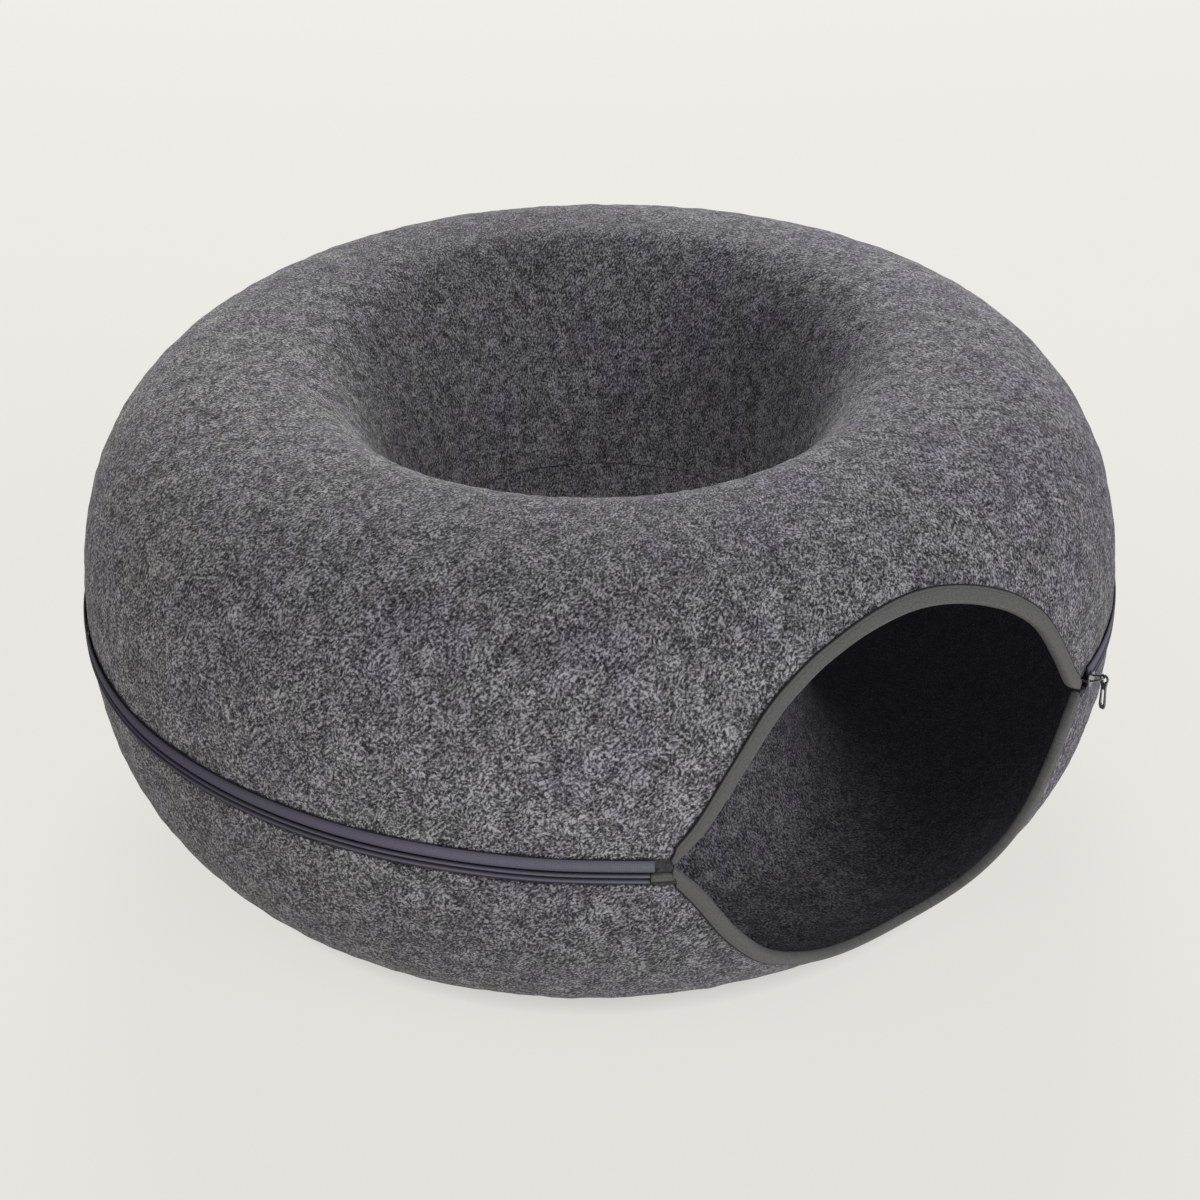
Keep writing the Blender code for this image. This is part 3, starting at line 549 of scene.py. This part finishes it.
def felt_material(name):
    """Marled felt, with painted shade on the tab and on a band next to the zip tape, where it dives under.
    The attribute grain holds the turn round the ring in metres, the arc, and the arc off the zip line. The
    attribute tone holds the tone (partly uneven dye, partly painted light and shade), 1 on the inner face,
    which has a faint painted glow, and the share of a yellower tint on the left side."""
    made, tree, shader = material(name, 0.95, sheen=0.06)
    grain = node(tree, "ShaderNodeAttribute", {"attribute_name": "grain"}).outputs["Vector"]
    tone = node(tree, "ShaderNodeSeparateXYZ", Vector=node(
        tree, "ShaderNodeAttribute", {"attribute_name": "tone"}
    ).outputs["Vector"]).outputs
    mixed = node(
        tree, "ShaderNodeGroup", {"node_tree": MARL}, Place=cloth_place(tree), Grain=grain,
        Solid=node(tree, "ShaderNodeTexCoord").outputs["Object"],
        **FELT_DYES,
    )
    where = node(tree, "ShaderNodeSeparateXYZ", Vector=grain).outputs
    ragged = math(tree, "MULTIPLY", math(tree, "SUBTRACT", mixed.outputs["Fibre height"], 0.5), GROOVE_RAGGED)
    off_zip = math(tree, "ADD", math(tree, "ABSOLUTE", where[2]), ragged)
    tab_from, tab_to = (OUTER_RADIUS * (turn + 2 * pi) for turn in (TAB_START, MOUTH_LEFT))
    in_groove = stretched(tree, off_zip, GROOVE[1], GROOVE[0])
    on_tab = math(tree, "MULTIPLY", between(tree, where[0], tab_from, tab_to, 0.5 * MM), in_groove)
    # Painted shade on the tab.
    color = mix_color(tree, math(tree, "MULTIPLY", on_tab, TAB_SHARE), mixed.outputs["Color"], TAB_PAINTED_SHADE)
    # Painted shade on the band next to the zip tape, kept off the tab.
    groove_shade = math(tree, "MULTIPLY", in_groove, GROOVE_PAINTED_SHADE)
    groove_shade = math(tree, "MULTIPLY", groove_shade, math(tree, "SUBTRACT", 1.0, on_tab))
    # The felt's tone, partly uneven dye and partly painted light and shade, times the band's painted shade.
    shade = math(tree, "MULTIPLY", tone[0], math(tree, "SUBTRACT", 1.0, groove_shade))
    color = node(tree, "ShaderNodeVectorMath", {"operation": "SCALE"}, i0=color, i3=shade).outputs[0]
    # A yellower tint on the left side.
    color = mix_color(tree, tone[2], color, LEFT_TINT_COLOR, "MULTIPLY")
    tree.links.new(color, shader.inputs["Base Color"])
    # Painted light: the inner face glows faintly.
    glow = node(tree, "ShaderNodeVectorMath", {"operation": "SCALE"}, i0=INNER_PAINTED_GLOW, i3=tone[1])
    tree.links.new(glow.outputs[0], shader.inputs["Emission Color"])
    shader.inputs["Emission Strength"].default_value = 1.0
    made.cycles.emission_sampling = "NONE"
    bump(tree, shader, mixed.outputs["Fibre height"], 0.6, 0.0008)
    return made


FELT_MATERIAL = felt_material("felt")


# %% Binding and zip tapes
def woven(tree, color, rib, pick, unevenness):
    """One dye, lightened and darkened a little by the weave and by uneven fibres. Also gives the height."""
    weave = node(
        tree, "ShaderNodeGroup", {"node_tree": WEAVE}, Place=cloth_place(tree),
        **{"Rib width": rib, "Pick width": pick},
    )
    shade = math(tree, "MULTIPLY", math(tree, "SUBTRACT", weave.outputs["Uneven"], 0.5), unevenness)
    shade = math(tree, "ADD", shade, math(tree, "MULTIPLY", weave.outputs["Height"], 0.2))
    shade = math(tree, "ADD", shade, 0.9)
    dyed = node(tree, "ShaderNodeVectorMath", {"operation": "SCALE"}, i0=color, i3=shade).outputs[0]
    height = math(tree, "ADD", weave.outputs["Height"], math(tree, "MULTIPLY", weave.outputs["Uneven"], 0.5))
    return dyed, height


BINDING_DYE = (0.121, 0.121, 0.120)
BINDING_EDGE_SHADE = (2.0 * MM, 1.3 * MM)
BINDING_SEAM = (3.0 * MM, 3.2 * MM)


def binding_material(name):
    """Ribbed tape with painted shade along its free edge and a faint line of sewing. Its place is (length,
    way in from the free edge, 0)."""
    made, tree, shader = material(name, 0.85, sheen=0.05)
    dyed, height = woven(tree, BINDING_DYE, 0.0009, 0.0011, 0.9)
    place = node(tree, "ShaderNodeSeparateXYZ", Vector=cloth_place(tree)).outputs
    # Painted shade along the tape's free edge, where it meets the felt.
    edge = math(tree, "MULTIPLY", stretched(tree, place[1], *BINDING_EDGE_SHADE), 0.92)
    seam = math(tree, "MULTIPLY", between(tree, place[1], *BINDING_SEAM, 0.3 * MM), 0.18)
    dark = math(tree, "MAXIMUM", edge, seam)
    lit = math(tree, "SUBTRACT", 1.0, dark)
    color = node(tree, "ShaderNodeVectorMath", {"operation": "SCALE"}, i0=dyed, i3=lit).outputs[0]
    tree.links.new(color, shader.inputs["Base Color"])
    bump(tree, shader, height, 0.6, 0.0002)
    return made


# The zip tape's one dye with painted light and shade, by turn round the ring in degrees.
TAPE_DYE_AND_LIGHT = (
    (40, (0.130, 0.125, 0.175)), (75, (0.045, 0.042, 0.062)), (245, (0.045, 0.042, 0.062)),
    (270, (0.066, 0.058, 0.104)), (288, (0.098, 0.093, 0.132)), (310, (0.146, 0.134, 0.196)),
    (322, (0.146, 0.140, 0.188)), (330, (0.152, 0.162, 0.196)),
)


def tape_material(name):
    """Zip tape of one dye, with painted light and shade that change with the turn round the ring: dark
    and purple at the left, paler by the mouth. Its place is (length, way in from the free edge, painted
    shade across the tape)."""
    made, tree, shader = material(name, 0.75)
    place = node(tree, "ShaderNodeSeparateXYZ", Vector=cloth_place(tree)).outputs
    share = math(tree, "DIVIDE", place[0], 2 * pi * OUTER_RADIUS)
    # Painted light and shade along the ring, over the tape's one dye.
    ramp = node(tree, "ShaderNodeValToRGB", Fac=share)
    for degrees, dye in TAPE_DYE_AND_LIGHT:
        ramp.color_ramp.elements.new(degrees / 360).color = (*dye, 1)
    for spare in (-1, 0):
        ramp.color_ramp.elements.remove(ramp.color_ramp.elements[spare])
    dyed, height = woven(tree, ramp.outputs["Color"], 0.0011, 0.0016, 1.5)
    # Painted shade along the tape's free edge.
    edge = math(tree, "MULTIPLY", stretched(tree, place[1], 0.7 * MM, 0.2 * MM), 0.85)
    # The larger of the painted edge shade and the profile's painted shade across the tape.
    lit = math(tree, "SUBTRACT", 1.0, math(tree, "MAXIMUM", edge, place[2]))
    color = node(tree, "ShaderNodeVectorMath", {"operation": "SCALE"}, i0=dyed, i3=lit).outputs[0]
    tree.links.new(color, shader.inputs["Base Color"])
    bump(tree, shader, height, 0.6, 0.0002)
    return made


BINDING_MATERIAL = binding_material("binding_cloth")
TAPE_MATERIAL = tape_material("zip_tape_cloth")


# %% Nylon and metal
def plain_material(name, color, roughness, metallic, spread):
    """A hard finish whose roughness varies a little, so that its highlights break up."""
    made, tree, shader = material(name, roughness, metallic=metallic)
    shader.inputs["Base Color"].default_value = (*color, 1)
    where = node(tree, "ShaderNodeTexCoord").outputs["Object"]
    worn = stretched(tree, noise(tree, where, 900.0, 3.0, 0.6), 0.3, 0.7)
    value = math(tree, "ADD", math(tree, "MULTIPLY", worn, spread), roughness - spread / 2)
    tree.links.new(value, shader.inputs["Roughness"])
    return made


NYLON_MATERIAL = plain_material("zip_coil_nylon", (0.03, 0.03, 0.04), 0.45, 0.0, 0.2)
METAL_MATERIAL = plain_material("zip_metal", (0.24, 0.245, 0.255), 0.3, 1.0, 0.15)

# %% [markdown]
# ## The felt halves
# Each half is one sheet of felt. The grid runs round the ring one way, and the other way along the outer
# face, over the seam's edge, back along the inner face and over the cut edge. Small lumps, which pressed felt
# always has, are a sum of many weak waves that run all ways. Near the mouth the felt is pinched thinner.

# %% Felt lumps
LUMP_HEIGHT = 0.2 * MM
LUMP_WAVES = 90
LUMP_LENGTHS = (11 * MM, 48 * MM)


def lumps(azimuth, arc):
    """Lift of the small lumps: the mean of many cosines with random directions and whole numbers of turns."""
    chance = np.random.default_rng(11)
    length = chance.uniform(*LUMP_LENGTHS, LUMP_WAVES)
    heading = chance.uniform(0, pi, LUMP_WAVES)
    turns_round = np.round(2 * pi * OUTER_RADIUS * np.cos(heading) / length)
    turns_over = np.round(GIRTH * np.sin(heading) / length)
    phase = chance.uniform(0, 2 * pi, LUMP_WAVES)
    total = np.zeros(np.broadcast(azimuth, arc).shape)
    for m, n, p in zip(turns_round, turns_over, phase):
        total += np.cos(m * azimuth + n * 2 * pi * arc / GIRTH + p)
    off_floor = np.clip((np.interp(arc % GIRTH, ARC, HEIGHT) + ZIP_HEIGHT) / WAVE_FADE, 0, 1)
    return total * LUMP_HEIGHT / np.sqrt(LUMP_WAVES / 2) * off_floor


# %% Uneven dye and painted light and shade
# Tone areas on the felt: partly uneven dye, partly painted light and shade.
DYE_AND_LIGHT_AREAS = (
    {"azimuth": -40, "arc": 0.03, "wide": 30, "tall": 0.07, "tone": 0.19},
    {"azimuth": -110, "arc": 0.14, "wide": 45, "tall": 0.12, "tone": 0.16},
    {"azimuth": 165, "arc": 0.20, "wide": 40, "tall": 0.09, "tone": -0.29},
    {"azimuth": -30, "arc": 0.23, "wide": 60, "tall": 0.06, "tone": -0.14},
    {"azimuth": -60, "arc": -0.07, "wide": 90, "tall": 0.07, "tone": -0.15},
    {"azimuth": 95, "arc": 0.29, "wide": 35, "tall": 0.07, "tone": -0.20},
    {"azimuth": -125, "arc": 0.30, "wide": 40, "tall": 0.06, "tone": -0.08},
    {"azimuth": 5, "arc": 0.13, "wide": 22, "tall": 0.04, "tone": 0.10},
)
# Painted shade: the felt in the well and on the inner face is painted darker.
WELL_PAINTED_SHADE = 0.90
INNER_PAINTED_SHADE = 0.78
LEFT_TINT_AREA = {"azimuth": radians(-110), "wide": radians(70)}


def dye_and_painted_light(azimuth, arc, inside):
    """Tone of the felt: 1 + tone x exp(-(turn / wide)^2 - (arc / tall)^2) for each area, partly uneven dye
    and partly painted light and shade. The well and the inner face are darker, as painted shade."""
    total = 1 + 0 * arc
    for area in DYE_AND_LIGHT_AREAS:
        turn = np.degrees((azimuth - radians(area["azimuth"]) + pi) % (2 * pi) - pi) / area["wide"]
        total = total + area["tone"] * np.exp(-(turn**2) - ((arc - area["arc"]) / area["tall"]) ** 2)
    radius = np.interp(arc % GIRTH, ARC, RADIUS)
    in_well = np.clip((CREST_RADIUS - 15 * MM - radius) / (30 * MM), 0, 1)
    total = total * (1 + (WELL_PAINTED_SHADE - 1) * in_well * (1 - inside))
    return total * (1 + (INNER_PAINTED_SHADE - 1) * inside)


# %% Felt halves
MOUTH_COLUMNS = 150
REST_COLUMNS = 530
OUTER_ROWS = 100
INNER_ROWS = 26
EDGE_ROUNDING = 1.2 * MM


def ring_columns():
    """Azimuths round the ring from the mouth's left corner, closer in the mouth. The tab has its own."""
    slim = GAP / OUTER_RADIUS
    mouth = np.linspace(MOUTH_LEFT, MOUTH_RIGHT, MOUTH_COLUMNS)
    behind = np.linspace(MOUTH_RIGHT, TAB_START + 2 * pi - slim, REST_COLUMNS)[1:]
    tab = np.linspace(TAB_START, TAB_END, 5) + 2 * pi
    return np.concatenate([mouth, behind, tab, [TAB_END + slim + 2 * pi]])


def felt_thickness(azimuth, arc, lip):
    """Full felt, less a pinch that fades with the distance to the binding's fold."""
    fold = with_tail(*lip_frame(lip, np.linspace(MOUTH_LEFT, MOUTH_RIGHT, 120)))
    turned = np.where(azimuth > pi, azimuth - 2 * pi, azimuth)
    away = np.full(arc.shape, 1.0)
    near = np.abs(turned[:, 0]) < radians(36)
    across = (turned[near][..., None] - fold[0]) * OUTER_RADIUS
    away[near] = np.hypot(across, arc[near][..., None] - fold[1]).min(axis=-1)
    full = np.clip((away - PINCH_DEPTH) / PINCH_FADE, 0, 1)
    return PINCHED_FELT + (FELT - PINCHED_FELT) * full


def felt_half(name, lip, made_of):
    """A closed section for each column: outer face, seam edge, inner face and cut edge, corners rounded."""
    sign = 1 if lip == "upper" else -1
    azimuth = ring_columns()[:, None]
    turned = np.where(azimuth > pi, azimuth - 2 * pi, azimuth)
    start = felt_edge(turned, lip)
    in_well = (ARC > GIRTH * 0.25) & (ARC < GIRTH * 0.7)
    seam = float(np.interp(-SEAM_RISE, -HEIGHT[in_well], ARC[in_well]))
    seam = seam - GAP / 2 if lip == "upper" else seam - GIRTH + GAP / 2
    corner = np.linspace(0, pi / 2, 5)
    rounding = EDGE_ROUNDING * np.stack([1 - np.sin(corner), 1 - np.cos(corner)])
    length = np.abs(seam - start)
    outer = EDGE_ROUNDING + (length - 2 * EDGE_ROUNDING) * np.linspace(0, 1, OUTER_ROWS)
    inner = EDGE_ROUNDING + (length - 2 * EDGE_ROUNDING) * np.linspace(1, 0, INNER_ROWS)
    full = length + 0 * corner
    along = np.concatenate(
        [outer[:, :-1], full - rounding[0], full - rounding[0][::-1], inner[:, 1:-1],
         rounding[0] + 0 * full, rounding[0][::-1][:-1] + 0 * full[:, :-1]], axis=1,
    )
    inside = np.concatenate([
        np.zeros(OUTER_ROWS - 1), np.zeros(5), np.ones(5), np.ones(INNER_ROWS - 2), np.ones(5), np.zeros(4),
    ])
    drop = np.concatenate([
        np.zeros(OUTER_ROWS - 1), rounding[1], -rounding[1][::-1], np.zeros(INNER_ROWS - 2),
        -rounding[1], rounding[1][::-1][:-1],
    ])
    arc = start + sign * along
    thickness = felt_thickness(azimuth + 0 * arc, arc, lip)
    lift = lumps(azimuth, arc) - drop - thickness * inside
    points = skin(azimuth, arc, lift)
    around = np.broadcast_to(azimuth, arc.shape)
    across = OUTER_RADIUS * np.cos(around), OUTER_RADIUS * np.sin(around)
    place = np.stack([*across, arc + 0.02 * inside], axis=-1)
    grain = np.stack([OUTER_RADIUS * around, arc, arc - zip_line(azimuth)], axis=-1)
    left_tint_share = np.exp(-((((azimuth - LEFT_TINT_AREA["azimuth"] + pi) % (2 * pi) - pi) / LEFT_TINT_AREA["wide"]) ** 2))
    tone = np.stack([dye_and_painted_light(azimuth, arc, inside), inside + 0 * arc, left_tint_share + 0 * arc], axis=-1)
    return grid_piece(name, points, made_of, place, ring=True, grain=grain, tone=tone)


felt_upper = felt_half("felt_upper", "upper", FELT_MATERIAL)
felt_lower = felt_half("felt_lower", "lower", FELT_MATERIAL)

# %% [markdown]
# ## The bindings
# Binding is tape folded over the cut edge and sewn down. Its section is a line that runs in over the outer
# face, round the edge and back inside, given the tape's thickness. Carried along each lip it makes the tape.

# %% Bindings
LIP_COLUMNS = 300
LEAF_SWELL = 0.45 * MM
FOLD_DEPTH = 1.5 * MM


def tape_outline(middle_depth, middle_lift, thick):
    """A closed outline from a middle line: the line pushed out by half the thickness on both sides."""
    step_d, step_l = np.gradient(middle_depth, axis=-1), np.gradient(middle_lift, axis=-1)
    size = np.hypot(step_d, step_l)
    normal_d, normal_l = -step_l / size, step_d / size
    share = np.linspace(-1, 1, middle_depth.shape[-1])
    half = 0.5 * thick * np.sqrt(1 - 0.9 * np.abs(share) ** 24)
    outside = middle_depth + half * normal_d, middle_lift + half * normal_l
    inside = middle_depth - half * normal_d, middle_lift - half * normal_l
    return [np.concatenate([a, b[..., ::-1]], axis=-1) for a, b in zip(outside, inside)]


def binding(name, lip, made_of):
    """The folded tape: outer leaf, half an ellipse round the felt's edge, and a shorter inner leaf."""
    frame_of = lip_frame(lip, lip_stations(lip, LIP_COLUMNS))
    if lip == "lower":
        frame_of = with_tail(*frame_of)
    azimuth, arc, into_x, into_y, radius, leaf = (v[:, None] for v in frame_of)
    top, bottom = GAP + BINDING / 2, -PINCHED_FELT - GAP - BINDING / 2
    outer = (1 - np.linspace(0, 1, 14) ** 1.3)[:-1]
    turn = np.linspace(pi / 2, -pi / 2, 13)
    inner = np.linspace(0, 1, 6)[1:]
    outer_depth = FOLD_DEPTH + (leaf - BINDING / 2 - FOLD_DEPTH) * outer
    fold_depth = BINDING / 2 + (FOLD_DEPTH - BINDING / 2) * (1 - np.cos(turn)) + 0 * leaf
    inner_depth = FOLD_DEPTH + (leaf * INNER_LEAF_SHARE - FOLD_DEPTH) * inner
    depth = np.concatenate([outer_depth, fold_depth, inner_depth], axis=1)
    lift = np.concatenate([
        top + LEAF_SWELL * np.sin(pi * outer), (top + bottom) / 2 + (top - bottom) / 2 * np.sin(turn),
        bottom + 0 * inner,
    ]) + 0 * leaf
    depth, lift = tape_outline(depth, lift, BINDING)
    points = skin(azimuth + depth * into_x / radius, arc + depth * into_y, lift)
    walked = walked_along(azimuth[:, 0], arc[:, 0])[:, None] + 0 * depth
    half = depth.shape[1] // 2
    way_in = np.concatenate([leaf - depth[:, :half], (leaf - depth[:, :half])[:, ::-1]], axis=1)
    place = np.stack([walked, way_in, 0 * depth], axis=-1)
    return grid_piece(name, points, made_of, place), walked[-1, 0]


binding_upper, upper_length = binding("binding_upper", "upper", BINDING_MATERIAL)
binding_lower, lower_length = binding("binding_lower", "lower", BINDING_MATERIAL)
print(f"binding lengths: {upper_length:.3f} m and {lower_length:.3f} m")

# %% [markdown]
# ## The zip
# Two woven tapes are sewn over the felt's edges and meet at a slit, with the coil behind it. Each tape is a
# profile carried round the ring: the upper one is softly arched, and the lower one has two ridges.

# %% Zip tapes
ZIP_COLUMNS = 700
PROUD = {"azimuth": radians(248), "wide": radians(26), "height": 0.9 * MM}


def zip_run(shorter=0.0):
    start = SLIDER_AZIMUTH - MM / OUTER_RADIUS
    end = TAB_START - (2 * GAP + shorter) / OUTER_RADIUS + 2 * pi
    return np.linspace(start, end, ZIP_COLUMNS)


def stand_off(azimuth):
    """Extra lift where the zip stands proud at the left: height x exp(-(turn / wide)^2)."""
    return PROUD["height"] * np.exp(-(((azimuth - PROUD["azimuth"]) / PROUD["wide"]) ** 2))


def tape(name, azimuth, near, far, profile, made_of):
    """A strip from near to far off the zip line. The profile's rows give share of width, share of thickness
    and painted shade across the tape, which below zero is a painted highlight."""
    share = np.linspace(0, 1, 41)
    table = np.array(profile)
    rise, dark = (smooth_through(share, table[:, 0], table[:, column]) for column in (1, 2))
    back = slice(39, 0, -4)
    across = near + (far - near) * np.concatenate([share, share[back]])
    azimuth = azimuth[:, None]
    lifts = GAP + np.concatenate([ZIP_TAPE * rise, 0 * rise[back]]) + stand_off(azimuth)
    arc = zip_line(azimuth) + across
    points = skin(azimuth, arc, lifts)
    # Painted shade across the tape, from the profile's third column.
    dark = np.concatenate([np.clip(dark, -0.2, 0.95), 0 * rise[back]])
    flat = 0 * arc
    place = np.stack([azimuth * OUTER_RADIUS + flat, np.abs(far - across) + flat, dark + flat], axis=-1)
    return grid_piece(name, points, made_of, place)


# Columns: share of width, share of thickness, painted shade (below zero, a painted highlight).
UPPER_TAPE_PROFILE = (
    (0, 0.35, 0.8), (0.05, 0.75, 0.6), (0.12, 0.9, 0.3), (0.28, 1.0, 0.1), (0.45, 1.0, 0.0),
    (0.65, 0.95, 0.06), (0.82, 0.85, 0.2), (0.93, 0.65, 0.35), (1, 0.3, 0.5),
)
LOWER_TAPE_PROFILE = (
    (0, 0.2, 0.85), (0.06, 0.6, 0.6), (0.14, 0.95, 0.05), (0.22, 1.0, -0.15), (0.3, 0.8, 0.2),
    (0.37, 0.4, 0.75), (0.55, 0.4, 0.75), (0.62, 0.75, 0.3), (0.7, 0.9, 0.0), (0.79, 0.8, 0.1),
    (0.87, 0.5, 0.6), (1, 0.2, 0.8),
)
tape_upper = tape(
    "tape_upper", zip_run(), ZIP_SLIT, ZIP_SLIT + TAPE_UPPER_WIDTH, UPPER_TAPE_PROFILE, TAPE_MATERIAL
)
tape_lower = tape(
    "tape_lower", zip_run(LOWER_END_SHORTER), -ZIP_SLIT, -ZIP_SLIT - TAPE_LOWER_WIDTH, LOWER_TAPE_PROFILE,
    TAPE_MATERIAL,
)

# %% Coil
COIL_HALF_WIDTH = 2.4 * MM
COIL_DEPTH = 2.5 * MM
COIL_PITCH = 1.4 * MM


def coil(name, made_of):
    """A bead of coil: an ellipse whose size swells and shrinks by a sine, once for each loop of the coil."""
    start, end = zip_run(LOWER_END_SHORTER)[[0, -1]]
    loops = int((end - start) * OUTER_RADIUS / COIL_PITCH)
    azimuth = np.linspace(start, end, loops * 4)[:, None]
    turn = np.linspace(0, 2 * pi, 10, endpoint=False)
    swell = 0.86 + 0.14 * np.sin(2 * pi * loops * np.linspace(0, 1, loops * 4))[:, None]
    arc = zip_line(azimuth) + COIL_HALF_WIDTH * swell * np.cos(turn)
    lift = -COIL_DEPTH / 2 + COIL_DEPTH / 2 * swell * np.sin(turn) + stand_off(azimuth)
    points = skin(azimuth, arc, lift)
    place = np.stack([azimuth * OUTER_RADIUS + 0 * arc, arc, lift], axis=-1)
    return grid_piece(name, points, made_of, place)


zip_coil = coil("coil_loops", NYLON_MATERIAL)

# %% Slider and pull keep their solids
for solid in ("zip_slider", "zip_pull"):
    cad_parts[solid].data.materials.clear()
    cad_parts[solid].data.materials.append(METAL_MATERIAL)

# %% [markdown]
# ## Who carries what
# The cave is one body, called root. Each fine piece rides on it and replaces its plain solid. The table also
# lists the finish of each piece, which nothing here reads.

# %% Frame calls
PIECES = (
    (felt_upper, "upper_shell", "felt"), (felt_lower, "lower_shell", "felt"),
    (binding_upper, "mouth_binding_upper", "binding_cloth"),
    (binding_lower, "mouth_binding_lower", "binding_cloth"),
    (tape_upper, "zip_tape_upper", "zip_tape_cloth"), (tape_lower, "zip_tape_lower", "zip_tape_cloth"),
    (zip_coil, "zip_coil", "zip_coil_nylon"),
)
for piece, solid, finish in PIECES:
    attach(piece, "root")
    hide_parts(solid)

# %% [markdown]
# ## Floor, light and camera
# The cave stands on a pale floor under soft, even light. The camera looks at the mouth's left side from
# about 30 degrees above.

# %% Floor
FLOOR_HALF = 40.0


def floor_material():
    """Matte and pale, with a little glow of its own, which fades where the cave stands close above it: a
    painted contact shadow.
    """
    made, tree, shader = material("floor", 0.9)
    shader.inputs["Base Color"].default_value = (0.135, 0.133, 0.127, 1)
    shader.inputs["Specular IOR Level"].default_value = 0.0
    shader.inputs["Emission Strength"].default_value = 0.697
    # Painted contact shadow: the glow dims where ambient occlusion finds the cave close above.
    open_to_sky = node(tree, "ShaderNodeAmbientOcclusion", {"samples": 3}, Distance=0.012).outputs["AO"]
    share = math(tree, "ADD", math(tree, "MULTIPLY", open_to_sky, 0.26), 0.74)
    glow = node(tree, "ShaderNodeVectorMath", {"operation": "SCALE"}, i0=(1.0, 0.984, 0.938), i3=share)
    tree.links.new(glow.outputs[0], shader.inputs["Emission Color"])
    return made


def floor():
    """A flat square, a hair under the cave."""
    mesh = bpy.data.meshes.new("floor")
    corners = [(x * FLOOR_HALF, y * FLOOR_HALF, -0.0002) for x, y in ((-1, -1), (1, -1), (1, 1), (-1, 1))]
    mesh.from_pydata(corners, [], [(0, 1, 2, 3)])
    mesh.materials.append(floor_material())
    made = bpy.data.objects.new("floor", mesh)
    bpy.context.scene.collection.objects.link(made)


floor()


# %% Light
LIGHT_DISTANCE = 5.2
LIGHT_SIZE = 3.2
SKY_STRENGTH = 0.203
VIEW_AZIMUTH = -34.2
SOFT_LIGHTS = (
    {"name": "back_light", "turn": 180, "rise": 25, "power": 300},
    {"name": "right_light", "turn": 45, "rise": 25, "power": 116},
    {"name": "left_light", "turn": -45, "rise": 55, "power": 56},
)


def soft_light(name, turn, rise, power):
    """A square light that faces the cave. turn is counted from the camera's side towards its right."""
    turn, rise = radians(VIEW_AZIMUTH + turn), radians(rise)
    back = Vector((sin(turn) * cos(rise), -cos(turn) * cos(rise), sin(rise)))
    data = bpy.data.lights.new(name, "AREA")
    data.size = LIGHT_SIZE
    data.energy = power
    made = bpy.data.objects.new(name, data)
    made.location = Vector((0, 0, ZIP_HEIGHT)) + back * LIGHT_DISTANCE
    made.rotation_euler = back.to_track_quat("Z", "Y").to_euler()
    bpy.context.scene.collection.objects.link(made)


for light in SOFT_LIGHTS:
    soft_light(**light)
world = bpy.data.worlds.new("studio")
world.use_nodes = True
world.node_tree.nodes["Background"].inputs["Color"].default_value = (1.0, 1.0, 1.0, 1)
world.node_tree.nodes["Background"].inputs["Strength"].default_value = SKY_STRENGTH
bpy.context.scene.world = world
bpy.context.scene.view_settings.view_transform = "Standard"

# %% Camera
CAMERA_AZIMUTH = radians(VIEW_AZIMUTH)
CAMERA_ELEVATION = 0.5303
CAMERA_DISTANCE = 1.6447
CAMERA_ROLL = -0.0203
FOCAL_PIXELS = 2772.2
IMAGE_SIZE = 1200
SENSOR = 36.0
TARGET_PIXEL = (600.01, 569.26)


def camera():
    """Looks at the ring's middle at the zip's height from a direction set by azimuth and elevation."""
    back = Vector((
        sin(CAMERA_AZIMUTH) * cos(CAMERA_ELEVATION), -cos(CAMERA_AZIMUTH) * cos(CAMERA_ELEVATION),
        sin(CAMERA_ELEVATION),
    ))
    data = bpy.data.cameras.new("camera")
    data.sensor_width = SENSOR
    data.lens = FOCAL_PIXELS * SENSOR / IMAGE_SIZE
    data.shift_x = (IMAGE_SIZE / 2 - TARGET_PIXEL[0]) / IMAGE_SIZE
    data.shift_y = (TARGET_PIXEL[1] - IMAGE_SIZE / 2) / IMAGE_SIZE
    data.clip_start, data.clip_end = 0.05, 50
    made = bpy.data.objects.new("camera", data)
    turn = back.to_track_quat("Z", "Y").to_matrix().to_4x4() @ Matrix.Rotation(CAMERA_ROLL, 4, "Z")
    target = Vector((AXIS_X, AXIS_Y, ZIP_HEIGHT))
    made.matrix_world = Matrix.Translation(target + back * CAMERA_DISTANCE) @ turn
    bpy.context.scene.collection.objects.link(made)
    bpy.context.scene.camera = made


camera()
